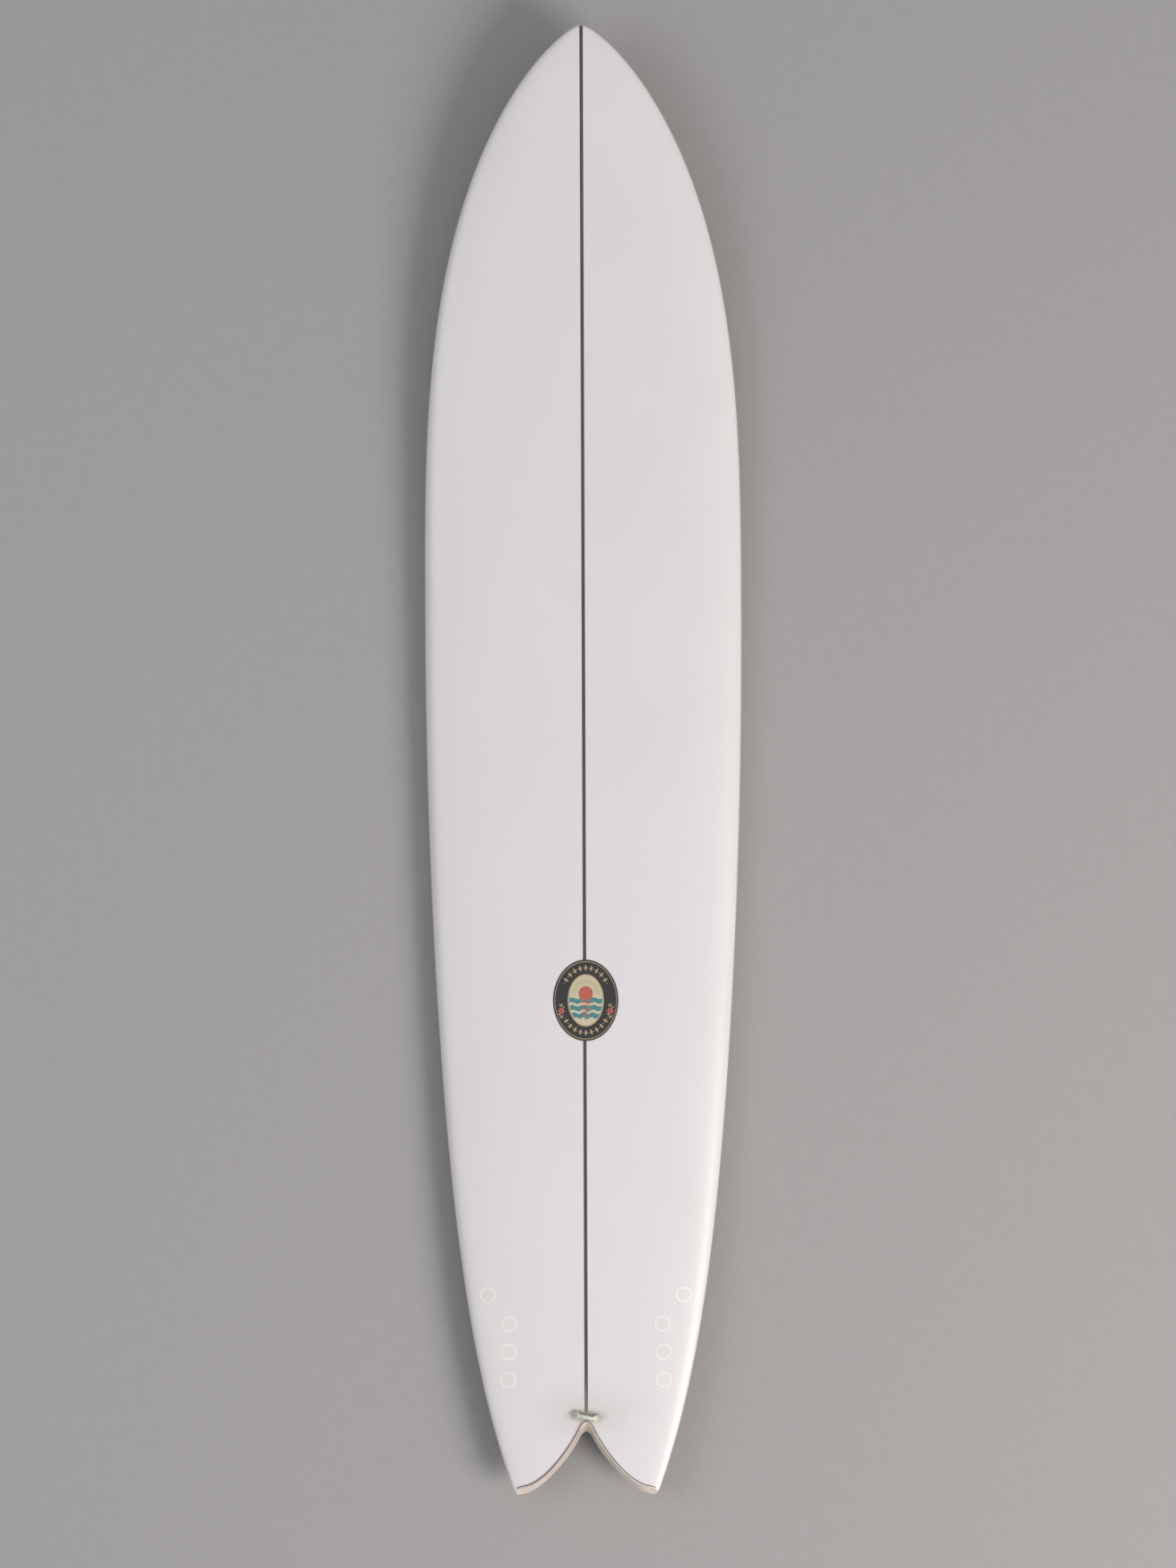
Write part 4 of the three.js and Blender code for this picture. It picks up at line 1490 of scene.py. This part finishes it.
@dataclass
class FinPlug:
    """One fin plug with its potting resin and grub screw, tagged with the name of the CAD pieces it replaces.
    """

    form: BoardForm
    glass: Glassing
    tag: str
    x: float
    from_tail: float
    radius: float = 12.3 * MM
    waist: float = 11.2 * MM
    depth: float = 16 * MM
    rim: float = 2.6 * MM
    slot_width: float = 6.6 * MM
    slot_length: float = 16.4 * MM
    slot_depth: float = 13 * MM
    slot_chamfer: float = 0.5 * MM
    groove: float = 0.25 * MM
    potting_radius: float = 14.5 * MM
    toe_in: float = 0.024
    screw_radius: float = 2 * MM
    screw_length: float = 5 * MM
    screw_tilt: float = 0.56
    screw_mouth: float = 7.8 * MM
    screw_recess: float = 1.5 * MM
    thread_pitch: float = 0.7 * MM

    @property
    def side(self) -> int:
        """1 on the right of the board and -1 on the left."""
        return 1 if self.x > 0 else -1

    @property
    def frame(self) -> Matrix:
        """Frame at the plug's mouth: +Z into the board, +Y along the slot."""
        y = self.from_tail - self.form.half_length

        def height(dx: float, dy: float) -> float:
            return self.form.height(self.x + dx, y + dy, FINISHED, Face.BOTTOM)

        step = self.radius
        slope_x = (height(step, 0) - height(-step, 0)) / (2 * step)
        slope_y = (height(0, step) - height(0, -step)) / (2 * step)
        z_axis = Vector((-slope_x, -slope_y, 1.0)).normalized()
        forward = Vector((-self.side * math.sin(self.toe_in), math.cos(self.toe_in), 0.0))
        x_axis = forward.cross(z_axis).normalized()
        y_axis = z_axis.cross(x_axis)
        turn = Matrix((x_axis, y_axis, z_axis)).transposed().to_4x4()
        return Matrix.Translation((self.x, y, height(0, 0))) @ turn

    @property
    def bore_frame(self) -> Matrix:
        """Frame of the grub screw's bore: +Z into the plug."""
        lean = Matrix.Rotation(-self.side * self.screw_tilt, 4, "Y")
        return self.frame @ Matrix.Translation((self.side * self.screw_mouth, 0.0, 0.0)) @ lean

    def add_hole(self, mesh: bmesh.types.BMesh) -> None:
        """Adds a bar through the board, for the hole that the plug and its resin sit in."""
        add_bar(mesh, self.potting_radius + 0.02 * MM, -0.03, 0.12, 64, self.frame)

    def plug(self) -> bpy.types.Object:
        """The moulded plug, with its slot and screw bore."""
        soft = 0.35 * MM
        base = self.depth - self.rim
        profile = [
            (0.0, 0.0),
            (self.radius - 2.0 * MM, 0.0),
            (self.radius - 1.8 * MM, self.groove),
            (self.radius - 1.3 * MM, self.groove),
            (self.radius - 1.1 * MM, 0.0),
            (self.radius - soft, 0.0),
            (self.radius - 0.1 * MM, 0.1 * MM),
            (self.radius, soft),
            (self.radius, self.rim),
            (self.waist, self.rim + 0.8 * MM),
            (self.waist, base - 0.8 * MM),
            (self.radius, base),
            (self.radius, self.depth - soft),
            (self.radius - soft, self.depth),
            (0.0, self.depth),
        ]
        mesh = turned(profile, 64)
        bmesh.ops.transform(mesh, matrix=self.frame, verts=mesh.verts)
        piece = to_object(f"plug_{self.tag}", mesh)
        bore_end = self.screw_mouth / math.sin(self.screw_tilt) - 2 * self.screw_radius - self.glass.gap
        carve(piece, self.slot_cutter())
        bore = bmesh.new()
        add_bar(bore, self.screw_radius + self.glass.gap, -self.screw_length, bore_end, 32, self.bore_frame)
        carve(piece, to_object("bore", bore))
        return piece

    def slot_cutter(self) -> bpy.types.Object:
        """The fin slot, with rounded corners and a chamfered mouth."""
        mesh = bmesh.new()
        bmesh.ops.create_cube(mesh, size=1.0)
        bmesh.ops.scale(mesh, vec=(self.slot_width, self.slot_length, 2 * self.slot_depth), verts=mesh.verts)
        heights = {edge: abs(edge.verts[0].co.z - edge.verts[1].co.z) for edge in mesh.edges}
        upright = [edge for edge in mesh.edges if heights[edge] > self.slot_depth]
        bmesh.ops.bevel(
            mesh, geom=upright, offset=1.1 * MM, segments=5, profile=0.5, affect="EDGES", material=-1
        )
        everything = list(mesh.verts) + list(mesh.edges) + list(mesh.faces)
        line = (0.0, 0.0, self.slot_chamfer)
        bmesh.ops.bisect_plane(mesh, geom=everything, plane_co=line, plane_no=(0.0, 0.0, 1.0))
        for vert in mesh.verts:
            if vert.co.z < 0.0:
                vert.co.x += math.copysign(2 * self.slot_chamfer, vert.co.x)
                vert.co.y += math.copysign(2 * self.slot_chamfer, vert.co.y)
                vert.co.z = -self.slot_chamfer
        bmesh.ops.transform(mesh, matrix=self.frame, verts=mesh.verts)
        return to_object("slot", mesh)

    def potting(self) -> bpy.types.Object:
        """The resin round the plug, up to the underside of the deck glass.

        Returns:
            The resin, with an attribute that says how far each point is from the plug's axis.
        """
        core = self.glass.core
        snug = 0.03 * MM
        top = 0.05
        profile = [(0.0, top)]
        profile += [(self.potting_radius * share / 14, top) for share in range(1, 15)]
        profile += [
            (self.potting_radius, 0.0),
            (self.radius + snug, 0.0),
            (self.radius + snug, self.rim + snug),
            (self.waist + snug, self.rim + 0.8 * MM + snug),
            (self.waist + snug, self.depth - self.rim - 0.8 * MM - snug),
            (self.radius + snug, self.depth - self.rim - snug),
            (self.radius + snug, self.depth + snug),
            (0.0, self.depth + snug),
        ]
        mesh = turned(profile, 64)
        radii = [math.hypot(vert.co.x, vert.co.y) for vert in mesh.verts]
        tops = [vert for vert in mesh.verts if vert.co.z > top - snug]
        mouths = [vert for vert in mesh.verts if vert.co.z < snug]
        bmesh.ops.transform(mesh, matrix=self.frame, verts=mesh.verts)
        axis = self.frame.to_3x3().col[2]
        for verts, layer, face in ((tops, core, Face.DECK), (mouths, FINISHED, Face.BOTTOM)):
            for vert in verts:
                for _ in range(4):
                    miss = self.form.height(vert.co.x, vert.co.y, layer, face) - vert.co.z
                    vert.co += axis * (miss / axis.z)
        piece = to_object(f"potting_{self.tag}", mesh)
        values = piece.data.attributes.new("from_axis", "FLOAT", "POINT")
        values.data.foreach_set("value", radii)
        return piece

    def screw(self) -> bpy.types.Object:
        """The grub screw, with a rolled thread and a hex socket."""
        pitch, major = self.thread_pitch, self.screw_radius
        minor = major - 0.6 * pitch
        low, high = self.screw_recess, self.screw_recess + self.screw_length
        turns = int(self.screw_length / pitch) + 4
        mesh = bmesh.new()
        verts = []
        for index in range(turns):
            height = low - 2 * pitch + index * pitch
            for radius, share in ((minor, 0.0), (minor, 0.12), (major, 0.48), (major, 0.62)):
                verts.append(mesh.verts.new((radius, 0.0, height + share * pitch)))
        edges = [mesh.edges.new(pair) for pair in zip(verts, verts[1:])]
        steps = 36
        bmesh.ops.spin(
            mesh,
            geom=verts + edges,
            cent=(0.0, 0.0, 0.0),
            axis=(0.0, 0.0, 1.0),
            dvec=(0.0, 0.0, pitch / steps),
            angle=2 * math.pi,
            steps=steps,
            use_merge=False,
        )
        bmesh.ops.remove_doubles(mesh, verts=mesh.verts, dist=0.004 * MM)
        for height, way in ((low, -1.0), (high, 1.0)):
            bmesh.ops.bisect_plane(
                mesh,
                geom=list(mesh.verts) + list(mesh.edges) + list(mesh.faces),
                plane_co=(0.0, 0.0, height),
                plane_no=(0.0, 0.0, way),
                clear_outer=True,
            )
        bmesh.ops.holes_fill(mesh, edges=mesh.edges, sides=0)
        bmesh.ops.recalc_face_normals(mesh, faces=mesh.faces)
        bmesh.ops.transform(mesh, matrix=self.bore_frame, verts=mesh.verts)
        piece = to_object(f"screw_{self.tag}", mesh, sharp=30.0)
        socket = bmesh.new()
        add_bar(socket, 2.0 * MM / math.sqrt(3), low - 1 * MM, low + 2.2 * MM, 6, self.bore_frame)
        carve(piece, to_object("socket", socket), sharp=30.0)
        return piece


# --------------------------------------------------------------------------- studio


@dataclass
class Studio:
    """Camera, floor and soft light."""

    camera_height: float = 9.0
    camera_place: Tuple[float, float] = (7.7 * MM, -42.0 * MM)
    camera_roll: float = -0.003775
    focal_length: float = 109.6

    def camera(self) -> None:
        """A camera that looks straight down on the deck, with the nose at the top."""
        data = bpy.data.cameras.new("camera")
        data.lens = self.focal_length
        data.sensor_width = 36.0
        data.clip_end = 100.0
        camera = bpy.data.objects.new("camera", data)
        camera.location = (*self.camera_place, self.camera_height)
        camera.rotation_euler = (0.0, 0.0, self.camera_roll)
        bpy.context.scene.collection.objects.link(camera)
        bpy.context.scene.camera = camera

    def floor(self) -> None:
        """A plain pale floor under the board."""
        mesh = bmesh.new()
        bmesh.ops.create_grid(mesh, x_segments=2, y_segments=2, size=60.0)
        piece = to_object("floor", mesh)
        material, shader, output = new_material("floor_paint")
        grain = shader.noise(shader.object_place(), 40.0, 3.0)
        colour = shader.mix(grain, (0.375, 0.362, 0.352), (0.40, 0.387, 0.377))
        surface = principled(shader, Base_Color=colour, Roughness=0.8)
        shader.put(surface.outputs[0], output.inputs["Surface"])
        dress(piece, material)

    def lamp(self, name: str, place: Colour, size: float, power: float, tint: Colour) -> None:
        """A square soft light that looks at the board's middle.

        Args:
            name: Name of the light.
            place: Where it hangs.
            size: Side of the square.
            power: Power in watts.
            tint: Colour of the light.
        """
        data = bpy.data.lights.new(name, "AREA")
        data.shape = "SQUARE"
        data.size = size
        data.energy = power
        data.color = tint
        lamp = bpy.data.objects.new(name, data)
        lamp.location = place
        lamp.rotation_euler = (-Vector(place)).to_track_quat("-Z", "Y").to_euler()
        bpy.context.scene.collection.objects.link(lamp)

    def light(self) -> None:
        """A large key light on the right, a weaker one on the left and a pale room."""
        self.lamp("key", (5.6, -3.8, 5.6), 4.0, 520.0, (1.0, 0.97, 0.93))
        self.lamp("fill", (-6.0, 0.5, 6.4), 4.5, 140.0, (0.92, 0.95, 1.0))
        world = bpy.data.worlds.new("room")
        world.use_nodes = True
        back = world.node_tree.nodes["Background"]
        back.inputs["Color"].default_value = (0.93, 0.94, 1.0, 1.0)
        back.inputs["Strength"].default_value = 0.42
        bpy.context.scene.world = world


# --------------------------------------------------------------------------- assembly


class PlugPlace(Enum):
    """Where each plug of one side sits: distances ahead of the tail and in from the rail, and its row."""

    OUTER = (371 * MM, 38 * MM, 0.0)
    FRONT = (265 * MM, 60.5 * MM, 52 * MM)
    MIDDLE = (265 * MM, 60.5 * MM, 0.0)
    REAR = (265 * MM, 60.5 * MM, -52 * MM)


def build_plugs(form: BoardForm, glass: Glassing) -> List[FinPlug]:
    """The eight plugs, left side first.

    Args:
        form: The board's form.
        glass: Thicknesses of the glass.

    Returns:
        The plugs.
    """
    plugs = []
    for name, side in (("left", -1), ("right", 1)):
        for place in PlugPlace:
            from_tail, from_rail, along = place.value
            x = form.half_width(from_tail - form.half_length) - from_rail - along * math.sin(FinPlug.toe_in)
            plugs.append(FinPlug(form, glass, f"{name}_{place.name.lower()}", side * x, from_tail + along))
    return plugs


def plug_holes(plugs: Sequence[FinPlug]) -> bpy.types.Object:
    """One cutter with the holes of several plugs."""
    mesh = bmesh.new()
    for plug in plugs:
        plug.add_hole(mesh)
    return to_object("holes", mesh)


def main() -> None:
    """Builds every piece round the frame, in the order the board is made."""
    logging.basicConfig(level=logging.INFO, format="%(message)s")
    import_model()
    studio = Studio()
    studio.camera()
    form = BoardForm.from_frame()
    glass = Glassing()
    cut = SwallowCut(form)
    plugs = build_plugs(form, glass)

    blank = Blank(form, cut, glass)
    foam = FoamFinish().make()
    for side, node in ((-1, "foam_core_left"), (1, "foam_core_right")):
        piece = blank.core_half(side, plug_holes([plug for plug in plugs if plug.side == side]))
        dress(piece, foam)
        settle(piece, ROOT_BODY, [node])
    piece = blank.stringer_board()
    dress(piece, WoodFinish().make())
    settle(piece, ROOT_BODY, ["stringer"])

    job = GlassJob(form, cut, glass)
    clear = ClearGlassFinish().make(form)
    piece = job.skin(Face.DECK, None)
    dress(piece, clear)
    settle(piece, ROOT_BODY, ["deck_laminate"])
    piece = job.skin(Face.BOTTOM, plug_holes(plugs))
    dress(piece, ClearGlassFinish(name="clear_glass_bottom", tail_patch=False).make(form))
    settle(piece, ROOT_BODY, ["bottom_laminate"])
    piece = job.wall()
    dress(piece, ResinFinish("wall_resin", (0.80, 0.70, 0.60), (0.70, 0.60, 0.51)).make())
    settle(piece, ROOT_BODY, ["tail_wall_laminate"])
    piece = job.pinline()
    # Dark pinline colour: partly the resin line's own, partly painted shade standing for the shadow in the
    # joint at the cut's deck edge.
    dress(piece, ResinFinish("pinline_and_shade_resin", (0.13, 0.085, 0.085), (0.09, 0.055, 0.06)).make())
    settle(piece, ROOT_BODY, ["tail_pinline"])

    decal = Decal(form)
    inks = (
        (decal.paper(), InkFinish("ink_black", (0.006, 0.0045, 0.0045)), ["deck_decal"]),
        (decal.cream(), InkFinish("ink_cream", (0.62, 0.54, 0.36)), []),
        (decal.gold(), InkFinish("ink_gold", (0.48, 0.36, 0.20), 0.2, 0.4), []),
        (decal.waves(), InkFinish("ink_teal", (0.045, 0.22, 0.23)), []),
        (decal.coral(), InkFinish("ink_coral", (0.50, 0.10, 0.06)), []),
    )
    for piece, ink, nodes in inks:
        dress(piece, ink.make())
        settle(piece, ROOT_BODY, nodes)

    leash = LeashPoint(form, cut)
    piece = leash.patch()
    dress(piece, PatchFinish().make())
    settle(piece, ROOT_BODY, ["leash_loop_patch"])
    piece = leash.loop()
    dress(piece, RovingFinish().make())
    settle(piece, ROOT_BODY, ["leash_loop"])

    potting, plastic, steel = RingFinish().make(), PlugFinish().make(), SteelFinish().make()
    for plug in plugs:
        piece = plug.potting()
        dress(piece, potting)
        settle(piece, ROOT_BODY, [f"plug_potting_{plug.tag}"])
        piece = plug.plug()
        dress(piece, plastic)
        settle(piece, ROOT_BODY, [f"fin_plug_{plug.tag}"])
        piece = plug.screw()
        dress(piece, steel)
        settle(piece, f"grub_screw_{plug.tag}", [f"grub_screw_{plug.tag}"])

    studio.floor()
    studio.light()
    bpy.context.scene.view_settings.view_transform = "Standard"


if __name__ == "__main__":
    main()
